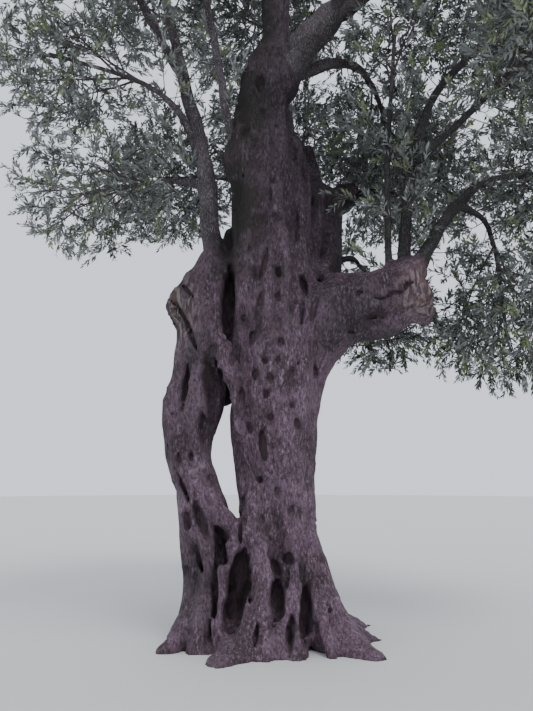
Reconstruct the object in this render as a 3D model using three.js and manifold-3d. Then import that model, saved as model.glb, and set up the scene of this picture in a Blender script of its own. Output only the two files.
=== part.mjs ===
// An ancient olive tree: a hollowed, corded trunk on a flared foot, a side stem round an open window,
// a sawn side limb with shoots, boughs, and masses of foliage. Millimetres, +Z up, origin at the ground.
import * as THREE from "three";
import { mergeVertices } from "three/addons/utils/BufferGeometryUtils.js";
import Module from "manifold-3d";

const wasm = await Module();
wasm.setup();

// Clearances
const GAP = 0.3;
const CUT_CLEARANCE = 0.4;
const MERGE_DISTANCE = 1e-4;
const FAR = 20000;

// Main trunk: height of a section, x and y of its middle, and its radius over the bark
const TRUNK_SECTIONS = [
  [-160, 110, 0, 500],
  [120, 100, 0, 450],
  [450, 90, 0, 390],
  [900, 70, 0, 350],
  [1750, 30, 0, 380],
  [2500, 35, 0, 465],
  [3200, -30, 10, 445],
  [3900, -50, 10, 362],
  [4500, -40, 10, 330],
  [5100, -110, 0, 300],
  [5600, -70, 0, 268],
  [6080, 30, 0, 265],
];
const TRUNK_CORDS = 9;
const TRUNK_TURN = 0.9;

// Side stem that leaves the foot, goes round the window and ends in a broken shoulder
const STEM_SECTIONS = [
  [-160, -560, 0, 300],
  [120, -590, 0, 270],
  [450, -600, 0, 240],
  [900, -625, 0, 250],
  [1300, -690, 0, 262],
  [1770, -870, 0, 232],
  [2200, -800, 0, 270],
  [2630, -695, 0, 282],
  [3050, -702, 0, 268],
  [3270, -755, 0, 320],
  [3600, -637, 10, 238],
  [3880, -577, 20, 130],
];
const STEM_CORDS = 4;
const STEM_TURN = 2.4;
const STEM_FORK_HEIGHT = 1150;

// How cords sit in a section, as shares of its radius, and how they swell along their length
const CORE_SHARE = 0.86;
const CORD_OFFSET = 0.7;
const CORD_SHARE = 0.36;
const CORD_SWELL = 0.12;
const CORD_SWELL_LENGTH = 700;
const CORD_SWELL_SHIFT = 1.7;
const CORE_SIDES = 10;
const CORD_SIDES = 6;

// Root flare: how far the cords' feet run out at the ground, and the height over which they do
const FLARE_HEIGHT = 240;
const TRUNK_REACH = 300;
const STEM_REACH = 170;
const REACH_SPREAD = 0.35;
const REACH_SHIFT = 2.4;

// Sawn side limb: x, y, z and radius along it
const STUB_SECTIONS = [
  [200, 0, 2780, 330],
  [500, 0, 3080, 360],
  [800, -20, 3275, 322],
  [1170, -30, 3385, 300],
  [1400, -35, 3440, 325],
  [1590, -40, 3490, 368],
];
const STUB_SIDES = 10;

// Foliage masses: bearing in degrees from +X, reach from the origin, height, spread and half depth
const MASSES = {
  left_high: [180, 2180, 6050, 1030, 950],
  left_low: [170, 2020, 4680, 1000, 800],
  left_top: [160, 1460, 7520, 1100, 950],
  left_front: [214, 2320, 6980, 950, 850],
  front_left: [246, 2250, 7280, 1050, 900],
  top: [45, 140, 8450, 1250, 850],
  right_top: [0, 2150, 7480, 1100, 880],
  front_right: [298, 2180, 7180, 1050, 880],
  right_upright: [356, 1350, 6250, 620, 650],
  right_high: [4, 2780, 6600, 1100, 950],
  right_mid: [5, 3200, 4850, 1050, 900],
  right_low: [7, 2520, 3290, 1050, 930],
  right_front: [331, 2900, 5500, 950, 850],
  right_inner: [35, 1780, 5520, 920, 900],
  right_under: [40, 1760, 3430, 850, 760],
  back_right: [48, 2980, 5600, 1150, 1050],
  back: [88, 2420, 6250, 1200, 1050],
  back_left: [122, 2600, 5620, 1150, 1000],
  back_top: [98, 1560, 7560, 1280, 900],
  back_low: [81, 2680, 4380, 1000, 800],
};

// Boughs: where each starts, the point it bends past, the mass that it feeds or the point where it
// ends, and its radius at both ends. A start is a point in the wood, or a limb and a share of its length.
const BOUGHS = {
  left_bough: bough([-560, 0, 3650], [-770, 0, 5250], "left_top", 105, 58),
  left_side_bough: bough(["left_bough", 0.42], [-1050, 20, 5650], "left_high", 45, 28),
  left_low_bough: bough(["left_bough", 0.3], [-930, 120, 4740], "left_low", 45, 28),
  left_front_bough: bough(["left_bough", 0.74], [-1350, -500, 6420], "left_front", 50, 30),
  inner_left_bough: bough([-360, -100, 4750], [-560, -220, 5900], "front_left", 50, 28),
  fork_left_bough: bough([100, 0, 5750], [20, 0, 6900], "top", 200, 92),
  fork_right_bough: bough([100, 0, 5850], [620, 0, 6720], "right_top", 190, 90),
  front_right_bough: bough(["fork_right_bough", 0.5], [900, -700, 6900], "front_right", 65, 34),
  fork_side_bough: bough([120, 120, 5900], [1000, 300, 6400], "right_inner", 76, 34),
  back_top_bough: bough(["fork_left_bough", 0.3], [20, 700, 6900], "back_top", 75, 40),
  back_stem: bough([400, 260, 3000], [650, 520, 4050], [600, 700, 4780], 240, 200),
  back_bough: bough([500, 550, 4450], [360, 750, 5600], "back", 100, 55),
  back_right_bough: bough(["back_stem", 0.82], [1200, 1300, 5050], "back_right", 85, 45),
  back_left_bough: bough(["back_stem", 0.86], [-450, 1250, 5250], "back_left", 60, 32),
  back_low_bough: bough(["back_stem", 0.6], [560, 1450, 4520], "back_low", 60, 35),
  right_under_bough: bough(["back_stem", 0.42], [920, 660, 4120], "right_under", 38, 25),
  upright_shoot: bough([1225, -20, 3450], [1250, -20, 5000], "right_upright", 36, 22),
  rising_shoot: bough([1385, 0, 3500], [1450, 0, 5500], "right_high", 62, 38),
  outer_shoot: bough([1480, 20, 3600], [2050, 50, 4620], "right_mid", 75, 42),
  drooping_bough: bough(["outer_shoot", 0.55], [2350, 180, 4330], "right_low", 36, 25),
  right_front_bough: bough(["rising_shoot", 0.4], [1980, -550, 5150], "right_front", 45, 28),
};
const BOUGH_SIDES = 6;
const BOUGH_STEPS = 4;
const ENTRY_SHARE = 0.92;

// Twigs and the leafy sprays on them
const STEM_SIDES = 4;
const STEM_STEPS = 3;
const STEM_LEAD = 90;
const STEM_BEND = 180;
const STEM_TIP_RADIUS = 20;
const STEM_REACH_PAST = 0.3;
const TWIG_SIDES = 3;
const TWIG_TRIES = 6;
const TWIG_REACHES = [1, 0.8, 0.6];
const TWIG_REACH_JITTER = 0.08;
const TWIG_ROOT_MIDDLE = 0.5;
const TWIG_ROOT_SPREAD = 0.4;
const TWIG_ROOT_FIRST = 0.28;
const TWIG_LEAST_LENGTH = 150;
const TWIG_TESTS = [0.4, 0.7, 1];
const TWIG_MARGIN = 40;
const TWIG_BASE_RADIUS = 15;
const TWIG_TIP_RADIUS = 12;
const SPRAY_LENGTH = 640;
const SPRAY_LENGTH_SHARE = 0.6;
const SPRAY_WIDTH = 250;
const SPRAY_THICKNESS = 16;
const SPRAY_BELLY = 0.45;
const SPRAY_SPLAY = 0.8;
const SPRAY_PLACES = [1, 0.72, 0.46];
const SPRAY_TRIES = 4;
const SPRAY_TESTS = [0.3, 0.55, 0.8, 1];
const SPRAY_APART = 155;
const TIP_SPLAY = 0.3;
const SPRAY_ROLL = 1.6;
const SPRAY_DROOP = 0.25;
const TIP_SINK = 22;
const SPACE_MARGIN = 0.05;
const LIMB_MARGIN = 14;
const GOLDEN_ANGLE = Math.PI * (3 - Math.sqrt(5));
const UPRIGHT = 0.95;

// Finishes
const BARK = { color: 0x5c4e56, roughness: 0.93, metalness: 0 };
const WEATHERED_BARK = { color: 0x665760, roughness: 0.9, metalness: 0 };
const BOUGH_BARK = { color: 0x54494f, roughness: 0.9, metalness: 0 };
const FOLIAGE = { color: 0x626c5a, roughness: 0.6, metalness: 0 };

function bough(start, past, end, baseRadius, tipRadius) {
  return { start, past, end, baseRadius, tipRadius };
}

// Random numbers between 0 and 1 that repeat from a seed
function seeded(seed) {
  let state = seed >>> 0;
  return () => {
    state = (state + 0x6d2b79f5) >>> 0;
    let mixed = Math.imul(state ^ (state >>> 15), state | 1);
    mixed ^= mixed + Math.imul(mixed ^ (mixed >>> 7), mixed | 61);
    return ((mixed ^ (mixed >>> 14)) >>> 0) / 4294967296;
  };
}

// A closed geometry as a solid that can be joined and cut
function solidOf(geometry) {
  geometry.deleteAttribute("normal");
  geometry.deleteAttribute("uv");
  const merged = mergeVertices(geometry, MERGE_DISTANCE);
  const vertProperties = merged.attributes.position.array;
  return new wasm.Manifold(new wasm.Mesh({ numProp: 3, vertProperties, triVerts: merged.index.array }));
}

// The largest body of a solid, without loose scraps and sealed hollows
function largestBody(solid) {
  return solid.decompose().reduce((best, body) => (body.volume() > best.volume() ? body : best));
}

function join(solids) {
  return solids.reduce((whole, next) => whole.add(next));
}

// A block between two levels that reaches past the tree on all sides
function blockBetween(low, high) {
  const block = new THREE.BoxGeometry(FAR, FAR, high - low);
  block.translate(0, 0, (low + high) / 2);
  return solidOf(block);
}

// Directions along a row of rings, each halfway between the stretches that meet there
function ringDirections(rings) {
  const stretches = rings.slice(1).map((ring, i) => ring.at.clone().sub(rings[i].at).normalize());
  return rings.map((ring, i) => {
    const before = stretches[Math.max(i - 1, 0)];
    const after = stretches[Math.min(i, stretches.length - 1)];
    return before.clone().add(after).normalize();
  });
}

// A tapering limb: the rings of a cylinder laid along a row of centres and radii, grown by a clearance
function tube(rings, sides, grow = 0) {
  const steps = rings.length - 1;
  const geometry = new THREE.CylinderGeometry(1, 1, 1, sides, steps);
  const directions = ringDirections(rings);
  const across = directions.map(() => new THREE.Vector3());
  const seedAxis = new THREE.Vector3(0, 0, 1);
  if (Math.abs(directions[0].z) > UPRIGHT) seedAxis.set(1, 0, 0);
  directions.forEach((direction, i) => {
    const carried = i === 0 ? seedAxis : across[i - 1];
    across[i].copy(carried).addScaledVector(direction, -carried.dot(direction)).normalize();
  });
  const position = geometry.attributes.position;
  const vertex = new THREE.Vector3();
  for (let i = 0; i < position.count; i += 1) {
    vertex.fromBufferAttribute(position, i);
    const step = Math.round((vertex.y + 0.5) * steps);
    const radius = rings[step].radius + grow;
    const side = across[step].clone().cross(directions[step]).negate();
    const place = rings[step].at.clone();
    place.addScaledVector(side, vertex.x * radius).addScaledVector(across[step], vertex.z * radius);
    if (step === 0) place.addScaledVector(directions[0], -grow);
    if (step === steps) place.addScaledVector(directions[steps], grow);
    position.setXYZ(i, place.x, place.y, place.z);
  }
  return solidOf(geometry);
}

// The middle and radius of a corded column at a height, read between its sections
function sectionAt(sections, height) {
  let i = 0;
  while (i < sections.length - 2 && sections[i + 1][0] < height) i += 1;
  const [low, high] = [sections[i], sections[i + 1]];
  const share = (height - low[0]) / (high[0] - low[0]);
  const [x, y, radius] = [1, 2, 3].map((k) => THREE.MathUtils.lerp(low[k], high[k], share));
  return { x, y, radius };
}

// The row of rings of one cord: it winds round the column and its foot runs out over the ground
function cordRings(column, index) {
  const { sections, cords, turn, reach } = column;
  const top = sections[sections.length - 1][0];
  const heights = sections.map((section) => section[0]);
  const footReach = reach * (1 + REACH_SPREAD * Math.sin(index * REACH_SHIFT));
  return heights.map((height) => {
    const { x, y, radius } = sectionAt(sections, height);
    const bearing = (index / cords) * 2 * Math.PI + (turn * height) / top;
    const offset = radius * CORD_OFFSET + footReach * Math.exp(-height / FLARE_HEIGHT);
    const at = new THREE.Vector3(x + Math.cos(bearing) * offset, y + Math.sin(bearing) * offset, height);
    const swell = 1 + CORD_SWELL * Math.sin(index * CORD_SWELL_SHIFT + height / CORD_SWELL_LENGTH);
    return { at, radius: radius * CORD_SHARE * swell };
  });
}

// A whole column: its core with the cords round it
function corded(column, grow = 0) {
  const core = column.sections.map(([height, x, y, radius]) => {
    return { at: new THREE.Vector3(x, y, height), radius: radius * CORE_SHARE };
  });
  const parts = [tube(core, CORE_SIDES, grow)];
  for (let index = 0; index < column.cords; index += 1) {
    parts.push(tube(cordRings(column, index), CORD_SIDES, grow));
  }
  return join(parts);
}

const TRUNK = { sections: TRUNK_SECTIONS, cords: TRUNK_CORDS, turn: TRUNK_TURN, reach: TRUNK_REACH };
const SIDE_STEM = { sections: STEM_SECTIONS, cords: STEM_CORDS, turn: STEM_TURN, reach: STEM_REACH };

// The trunk stands on a flat cut at the ground and carries the foot of the side stem
function trunk(grow = 0) {
  const foot = corded(SIDE_STEM, grow).intersect(blockBetween(-FAR, STEM_FORK_HEIGHT + grow));
  return corded(TRUNK, grow).add(foot).intersect(blockBetween(0, FAR));
}

function leftStem(grow = 0) {
  return corded(SIDE_STEM, grow).intersect(blockBetween(STEM_FORK_HEIGHT, FAR));
}

const stubRings = STUB_SECTIONS.map(([x, y, z, radius]) => ({ at: new THREE.Vector3(x, y, z), radius }));

function rightStub(grow = 0) {
  return tube(stubRings, STUB_SIDES, grow);
}

// The space of a foliage mass, from its bearing and reach
function spaceOf([bearing, reach, height, spread, depth]) {
  const angle = THREE.MathUtils.degToRad(bearing);
  const centre = new THREE.Vector3(Math.cos(angle) * reach, Math.sin(angle) * reach, height);
  return { centre, radii: new THREE.Vector3(spread, spread, depth) };
}

const spaces = Object.fromEntries(Object.entries(MASSES).map(([name, sizes]) => [name, spaceOf(sizes)]));

// How far out a point lies in a space: 0 at the middle and 1 on its surface
function outness(space, point) {
  return point.clone().sub(space.centre).divide(space.radii).length();
}

// Where a bough that comes from a point enters a space
function entryPoint(space, from) {
  const inward = space.centre.clone().sub(from);
  const share = 1 - ENTRY_SHARE / outness(space, from);
  return from.clone().addScaledVector(inward, share);
}

// The rings of every bough, each from its start past its bend to its tip
function boughRings() {
  const curves = {};
  const rings = {};
  for (const [name, { start, past, end, baseRadius, tipRadius }] of Object.entries(BOUGHS)) {
    const [limb, share] = start;
    const from = limb in curves ? curves[limb].getPoint(share) : new THREE.Vector3(...start);
    const bend = new THREE.Vector3(...past);
    const tip = end in spaces ? entryPoint(spaces[end], bend) : new THREE.Vector3(...end);
    curves[name] = new THREE.QuadraticBezierCurve3(from, bend, tip);
    rings[name] = curves[name].getPoints(BOUGH_STEPS).map((at, i) => {
      return { at, radius: THREE.MathUtils.lerp(baseRadius, tipRadius, i / BOUGH_STEPS) };
    });
  }
  return rings;
}

const limbRings = boughRings();

// The stretches of every limb, which twigs and leaves keep clear of
function stretchesOf(rings, share = 1) {
  return rings.slice(1).map((ring, i) => {
    const radius = Math.max(ring.radius, rings[i].radius) * share;
    return { line: new THREE.Line3(rings[i].at, ring.at), radius };
  });
}

function columnStretches(sections) {
  const rings = sections.map(([height, x, y, radius]) => ({ at: new THREE.Vector3(x, y, height), radius }));
  return stretchesOf(rings, CORD_OFFSET + CORD_SHARE * (1 + CORD_SWELL));
}

const stretches = [
  ...columnStretches(TRUNK_SECTIONS),
  ...columnStretches(STEM_SECTIONS),
  ...stretchesOf(stubRings),
  ...Object.values(limbRings).flatMap((rings) => stretchesOf(rings)),
];

// True where a point lies in its own space, nearer to it than to any other, and clear of every limb
function isFree(name, point, margin) {
  const own = outness(spaces[name], point);
  if (own > 1) return false;
  for (const [other, space] of Object.entries(spaces)) {
    if (other !== name && outness(space, point) < own + SPACE_MARGIN) return false;
  }
  const nearest = new THREE.Vector3();
  return stretches.every(({ line, radius }) => {
    line.closestPointToPoint(point, true, nearest);
    return nearest.distanceTo(point) > radius + margin;
  });
}

// A direction at right angles to another, turned by an angle round it
function sideOf(direction, angle) {
  const level = new THREE.Vector3(0, 0, 1);
  if (Math.abs(direction.z) > UPRIGHT) level.set(1, 0, 0);
  return level.cross(direction).normalize().applyAxisAngle(direction, angle);
}

// The stem of a mass: it carries on from the bough's tip and bends through the middle of the space
function stemRings(name, tipRings) {
  const tip = tipRings[tipRings.length - 1];
  const before = tipRings[tipRings.length - 2];
  const onward = tip.at.clone().sub(before.at).normalize();
  const start = tip.at.clone().addScaledVector(onward, GAP);
  const lead = start.clone().addScaledVector(onward, STEM_LEAD);
  const { centre } = spaces[name];
  const end = centre.clone().addScaledVector(centre.clone().sub(start), STEM_REACH_PAST);
  const bend = new THREE.QuadraticBezierCurve3(lead, lead.clone().addScaledVector(onward, STEM_BEND), end);
  const places = [start, ...bend.getPoints(STEM_STEPS - 1)];
  return places.map((at, i) => {
    return { at, radius: THREE.MathUtils.lerp(tip.radius, STEM_TIP_RADIUS, i / STEM_STEPS) };
  });
}

// The point a share of the way along a row of rings, and the radius there
function pointAlong(rings, share) {
  const place = share * (rings.length - 1);
  const i = Math.min(Math.floor(place), rings.length - 2);
  const at = rings[i].at.clone().lerp(rings[i + 1].at, place - i);
  return { at, radius: THREE.MathUtils.lerp(rings[i].radius, rings[i + 1].radius, place - i) };
}

// The main twigs of a mass: aimed evenly all round its space, and drawn in or skipped where not free
function twigsOf(name, stem, random) {
  const space = spaces[name];
  const stemWay = stem[stem.length - 1].at.clone().sub(stem[0].at).normalize();
  const spin = random() * 2 * Math.PI;
  const twigs = [];
  for (let i = 0; i < TWIG_TRIES; i += 1) {
    const level = 1 - (2 * i + 1) / TWIG_TRIES;
    const round = Math.sqrt(1 - level * level);
    const turn = spin + i * GOLDEN_ANGLE;
    const way = new THREE.Vector3(Math.cos(turn) * round, Math.sin(turn) * round, level);
    const length = sprayLength(space) / space.radii.x;
    const share = TWIG_ROOT_MIDDLE + TWIG_ROOT_SPREAD * way.dot(stemWay);
    const root = pointAlong(stem, Math.max(share, TWIG_ROOT_FIRST));
    for (const reach of TWIG_REACHES) {
      const out = (1 - length) * reach * (1 + TWIG_REACH_JITTER * (2 * random() - 1));
      const tip = space.centre.clone().add(way.clone().multiply(space.radii).multiplyScalar(out));
      if (tip.distanceTo(root.at) < TWIG_LEAST_LENGTH) continue;
      const tests = TWIG_TESTS.map((place) => root.at.clone().lerp(tip, place));
      if (!tests.every((point) => isFree(name, point, TWIG_MARGIN))) continue;
      twigs.push([
        { at: root.at, radius: TWIG_BASE_RADIUS },
        { at: tip, radius: TWIG_TIP_RADIUS },
      ]);
      break;
    }
  }
  return twigs;
}

function sprayLength(space) {
  return Math.min(SPRAY_LENGTH, space.radii.x * SPRAY_LENGTH_SHARE);
}

// A spray of leaves as one flat stretched octahedron, from its root along its length
function sprayOf(root, way, side, length) {
  const geometry = new THREE.OctahedronGeometry(1, 0);
  const width = (SPRAY_WIDTH * length) / SPRAY_LENGTH;
  const normal = side.clone().cross(way).normalize();
  const belly = root.clone().addScaledVector(way, length * SPRAY_BELLY);
  const position = geometry.attributes.position;
  for (let i = 0; i < position.count; i += 1) {
    const [x, y, z] = [position.getX(i), position.getY(i), position.getZ(i)];
    const along = x > 0 ? x * length * (1 - SPRAY_BELLY) : x * length * SPRAY_BELLY;
    const place = belly.clone().addScaledVector(way, along);
    place.addScaledVector(side, (-y * width) / 2).addScaledVector(normal, (z * SPRAY_THICKNESS) / 2);
    position.setXYZ(i, place.x, place.y, place.z);
  }
  return solidOf(geometry);
}

// True where a spray's middle line keeps clear of the sprays and twigs already in its mass
function isApart(root, tip, placed) {
  const nearest = new THREE.Vector3();
  return SPRAY_TESTS.every((share) => {
    const point = root.clone().lerp(tip, share);
    return placed.every((line) => {
      line.closestPointToPoint(point, true, nearest);
      return nearest.distanceTo(point) > SPRAY_APART;
    });
  });
}

// The points of a spray that have to be free: along its middle and on both its edges
function sprayTests(root, tip, side, width) {
  const belly = root.clone().lerp(tip, SPRAY_BELLY);
  const edges = [-0.5, 0.5].map((share) => belly.clone().addScaledVector(side, share * width));
  return [tip, belly, belly.clone().lerp(tip, 0.5), ...edges];
}

// The sprays of one twig: some splayed along it and one at its tip, skipped where not free
function spraysOf(name, twig, placed, random) {
  const length = sprayLength(spaces[name]);
  const sprays = [];
  const tipWay = twig[1].at.clone().sub(twig[0].at).normalize();
  for (const place of SPRAY_PLACES) {
    const isTip = place === 1;
    const root = pointAlong(twig, place).at;
    if (isTip) root.addScaledVector(tipWay, -TIP_SINK);
    for (let attempt = 0; attempt < SPRAY_TRIES; attempt += 1) {
      const splay = isTip ? TIP_SPLAY * attempt : SPRAY_SPLAY;
      const way = tipWay.clone().addScaledVector(sideOf(tipWay, random() * 2 * Math.PI), splay).normalize();
      way.z -= SPRAY_DROOP * random();
      way.normalize();
      const face = sideOf(way, (random() - 0.5) * SPRAY_ROLL);
      const tip = root.clone().addScaledVector(way, length);
      const side = way.clone().cross(face).normalize();
      const tests = sprayTests(root, tip, side, SPRAY_WIDTH);
      if (!tests.every((point) => isFree(name, point, LIMB_MARGIN))) continue;
      if (!isApart(root, tip, placed)) continue;
      placed.push(new THREE.Line3(root.clone().lerp(tip, SPRAY_TESTS[0]), tip));
      sprays.push(sprayOf(root, way, side, length));
      break;
    }
  }
  return sprays;
}

// One mass of foliage: its stem, its twigs and their sprays, fused
function foliage(name, tipRings, seed) {
  const random = seeded(seed);
  const stem = stemRings(name, tipRings);
  const twigs = twigsOf(name, stem, random);
  const placed = [];
  const parts = [tube(stem, STEM_SIDES)];
  for (const twig of twigs) {
    parts.push(tube(twig, TWIG_SIDES), ...spraysOf(name, twig, placed, random));
  }
  return largestBody(join(parts));
}

// A solid as a named mesh with its finish
function meshOf(name, solid, finish) {
  const { vertProperties, triVerts } = solid.getMesh();
  const geometry = new THREE.BufferGeometry();
  geometry.setAttribute("position", new THREE.BufferAttribute(vertProperties, 3));
  geometry.setIndex(new THREE.BufferAttribute(triVerts, 1));
  geometry.computeVertexNormals();
  const mesh = new THREE.Mesh(geometry, new THREE.MeshStandardMaterial(finish));
  mesh.name = name;
  return mesh;
}

const tree = new THREE.Group();
const made = [];

// Cuts a limb clear of all the wood made before it, and keeps its grown copy to cut the next ones
function addLimb(name, finish, shape) {
  const clear = made.reduce((rest, grown) => rest.subtract(grown), shape(0));
  tree.add(meshOf(name, largestBody(clear), finish));
  made.push(shape(CUT_CLEARANCE));
}

addLimb("trunk", BARK, trunk);
addLimb("left_stem", BARK, leftStem);
addLimb("right_stub", WEATHERED_BARK, rightStub);
for (const [name, rings] of Object.entries(limbRings)) {
  addLimb(name, BOUGH_BARK, (grow) => tube(rings, BOUGH_SIDES, grow));
}
for (const [index, [name, { end }]] of Object.entries(BOUGHS).entries()) {
  if (!(end in spaces)) continue;
  tree.add(meshOf(`foliage_${end}`, foliage(end, limbRings[name], index + 1), FOLIAGE));
}

export default tree;
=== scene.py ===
"""An ancient olive tree: a hollowed, corded trunk on a flared foot, a side stem round an open window, a sawn
side limb with shoots, boughs, twigs and leaves. Metres, +Z up, with the origin on the cut at the ground."""

import math

import bpy
import numpy as np
from bpy.props import FloatProperty, FloatVectorProperty, PointerProperty
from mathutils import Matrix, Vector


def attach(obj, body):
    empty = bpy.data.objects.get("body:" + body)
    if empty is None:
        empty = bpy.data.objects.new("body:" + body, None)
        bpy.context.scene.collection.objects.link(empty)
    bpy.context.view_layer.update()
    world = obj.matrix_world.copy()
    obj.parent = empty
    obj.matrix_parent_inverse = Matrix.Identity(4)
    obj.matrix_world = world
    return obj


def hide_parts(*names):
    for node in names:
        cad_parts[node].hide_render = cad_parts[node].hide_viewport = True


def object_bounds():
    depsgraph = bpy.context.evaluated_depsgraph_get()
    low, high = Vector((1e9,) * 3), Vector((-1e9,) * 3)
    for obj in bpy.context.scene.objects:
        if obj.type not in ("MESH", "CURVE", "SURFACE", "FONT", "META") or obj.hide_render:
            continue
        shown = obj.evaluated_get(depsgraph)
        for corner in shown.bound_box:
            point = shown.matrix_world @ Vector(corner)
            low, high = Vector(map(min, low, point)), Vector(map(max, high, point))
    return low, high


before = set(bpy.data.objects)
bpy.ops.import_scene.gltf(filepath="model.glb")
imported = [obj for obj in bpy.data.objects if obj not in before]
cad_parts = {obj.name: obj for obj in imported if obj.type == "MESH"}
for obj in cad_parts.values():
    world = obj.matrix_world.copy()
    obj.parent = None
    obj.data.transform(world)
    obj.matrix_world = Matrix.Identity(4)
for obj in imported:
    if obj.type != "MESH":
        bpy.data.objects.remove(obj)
CAD_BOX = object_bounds()

bl_info = {
    "name": "Olive tree",
    "version": (1, 0, 0),
    "blender": (4, 5, 0),
    "location": "View3D > Sidebar > Olive tree",
    "description": "Builds an ancient olive tree with a corded trunk, boughs, twigs and leaves",
    "category": "Add Mesh",
}

BODY = "root"

# The solids' clearance between a bough's tip and the stem of its mass
GAP = 0.0003

# Keeps a division or a logarithm from failing
TINY = 1e-9

# Main trunk: height of a section, x and y of its middle, and its radius over the bark; then its cords'
# number, their turn up to the top and how far their feet reach
TRUNK_SECTIONS = [
    (-0.16, 0.11, 0.0, 0.5), (0.12, 0.1, 0.0, 0.45), (0.45, 0.09, 0.0, 0.39), (0.9, 0.07, 0.0, 0.35),
    (1.75, 0.03, 0.0, 0.38), (2.5, 0.035, 0.0, 0.465), (3.2, -0.03, 0.01, 0.445), (3.9, -0.05, 0.01, 0.362),
    (4.5, -0.04, 0.01, 0.33), (5.1, -0.11, 0.0, 0.3), (5.6, -0.07, 0.0, 0.268), (6.08, 0.03, 0.0, 0.265),
]
TRUNK_CORDS = (9, 0.9, 0.3)

# Side stem that leaves the foot, goes round the window and ends in a broken shoulder
STEM_SECTIONS = [
    (-0.16, -0.56, 0.0, 0.3), (0.12, -0.59, 0.0, 0.27), (0.45, -0.6, 0.0, 0.24), (0.9, -0.625, 0.0, 0.25),
    (1.3, -0.69, 0.0, 0.262), (1.77, -0.87, 0.0, 0.232), (2.2, -0.8, 0.0, 0.27), (2.63, -0.695, 0.0, 0.282),
    (3.05, -0.702, 0.0, 0.268), (3.27, -0.755, 0.0, 0.32), (3.6, -0.637, 0.01, 0.238),
    (3.88, -0.577, 0.02, 0.13),
]
STEM_CORDS = (4, 2.4, 0.17)

# How cords sit in a section, as shares of its radius, and how they swell along their length
CORE_SHARE = 0.8
CORD_OFFSET = 0.7
CORD_SHARE = 0.36
CORD_SWELL = 0.12
CORD_SWELL_LENGTH = 0.7
CORD_SWELL_SHIFT = 1.7
FLARE_HEIGHT = 0.24
REACH_SPREAD = 0.35
REACH_SHIFT = 2.4

# Sawn side limb: x, y, z and radius along it
STUB_SECTIONS = [
    (0.2, 0.0, 2.78, 0.33), (0.5, 0.0, 3.08, 0.36), (0.8, -0.02, 3.275, 0.322), (1.17, -0.03, 3.385, 0.3),
    (1.4, -0.035, 3.44, 0.325), (1.59, -0.04, 3.49, 0.368),
]

# Foliage masses: bearing in degrees from +X, reach from the origin, height, spread and half depth
MASSES = {
    "left_high": (180, 2.18, 6.05, 1.03, 0.95),
    "left_low": (170, 2.02, 4.68, 1.0, 0.8),
    "left_top": (160, 1.46, 7.52, 1.1, 0.95),
    "left_front": (214, 2.32, 6.98, 0.95, 0.85),
    "front_left": (246, 2.25, 7.28, 1.05, 0.9),
    "top": (45, 0.14, 8.45, 1.25, 0.85),
    "right_top": (0, 2.15, 7.48, 1.1, 0.88),
    "front_right": (298, 2.18, 7.18, 1.05, 0.88),
    "right_upright": (356, 1.35, 6.25, 0.62, 0.65),
    "right_high": (4, 2.78, 6.6, 1.1, 0.95),
    "right_mid": (5, 3.2, 4.85, 1.05, 0.9),
    "right_low": (7, 2.52, 3.29, 1.05, 0.93),
    "right_front": (331, 2.9, 5.5, 0.95, 0.85),
    "right_inner": (35, 1.78, 5.52, 0.92, 0.9),
    "right_under": (40, 1.76, 3.43, 0.85, 0.76),
    "back_right": (48, 2.98, 5.6, 1.15, 1.05),
    "back": (88, 2.42, 6.25, 1.2, 1.05),
    "back_left": (122, 2.6, 5.62, 1.15, 1.0),
    "back_top": (98, 1.56, 7.56, 1.28, 0.9),
    "back_low": (81, 2.68, 4.38, 1.0, 0.8),
}

# The masses whose twigs and leaves are joined, so that no piece grows too large
CROWN_PARTS = {
    "left": ("left_high", "left_low", "left_top", "left_front"),
    "top": ("front_left", "top", "right_top", "front_right"),
    "right": ("right_upright", "right_high", "right_mid", "right_front"),
    "inner": ("right_low", "right_inner", "right_under", "back_right"),
    "back": ("back", "back_left", "back_top", "back_low"),
}

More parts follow.
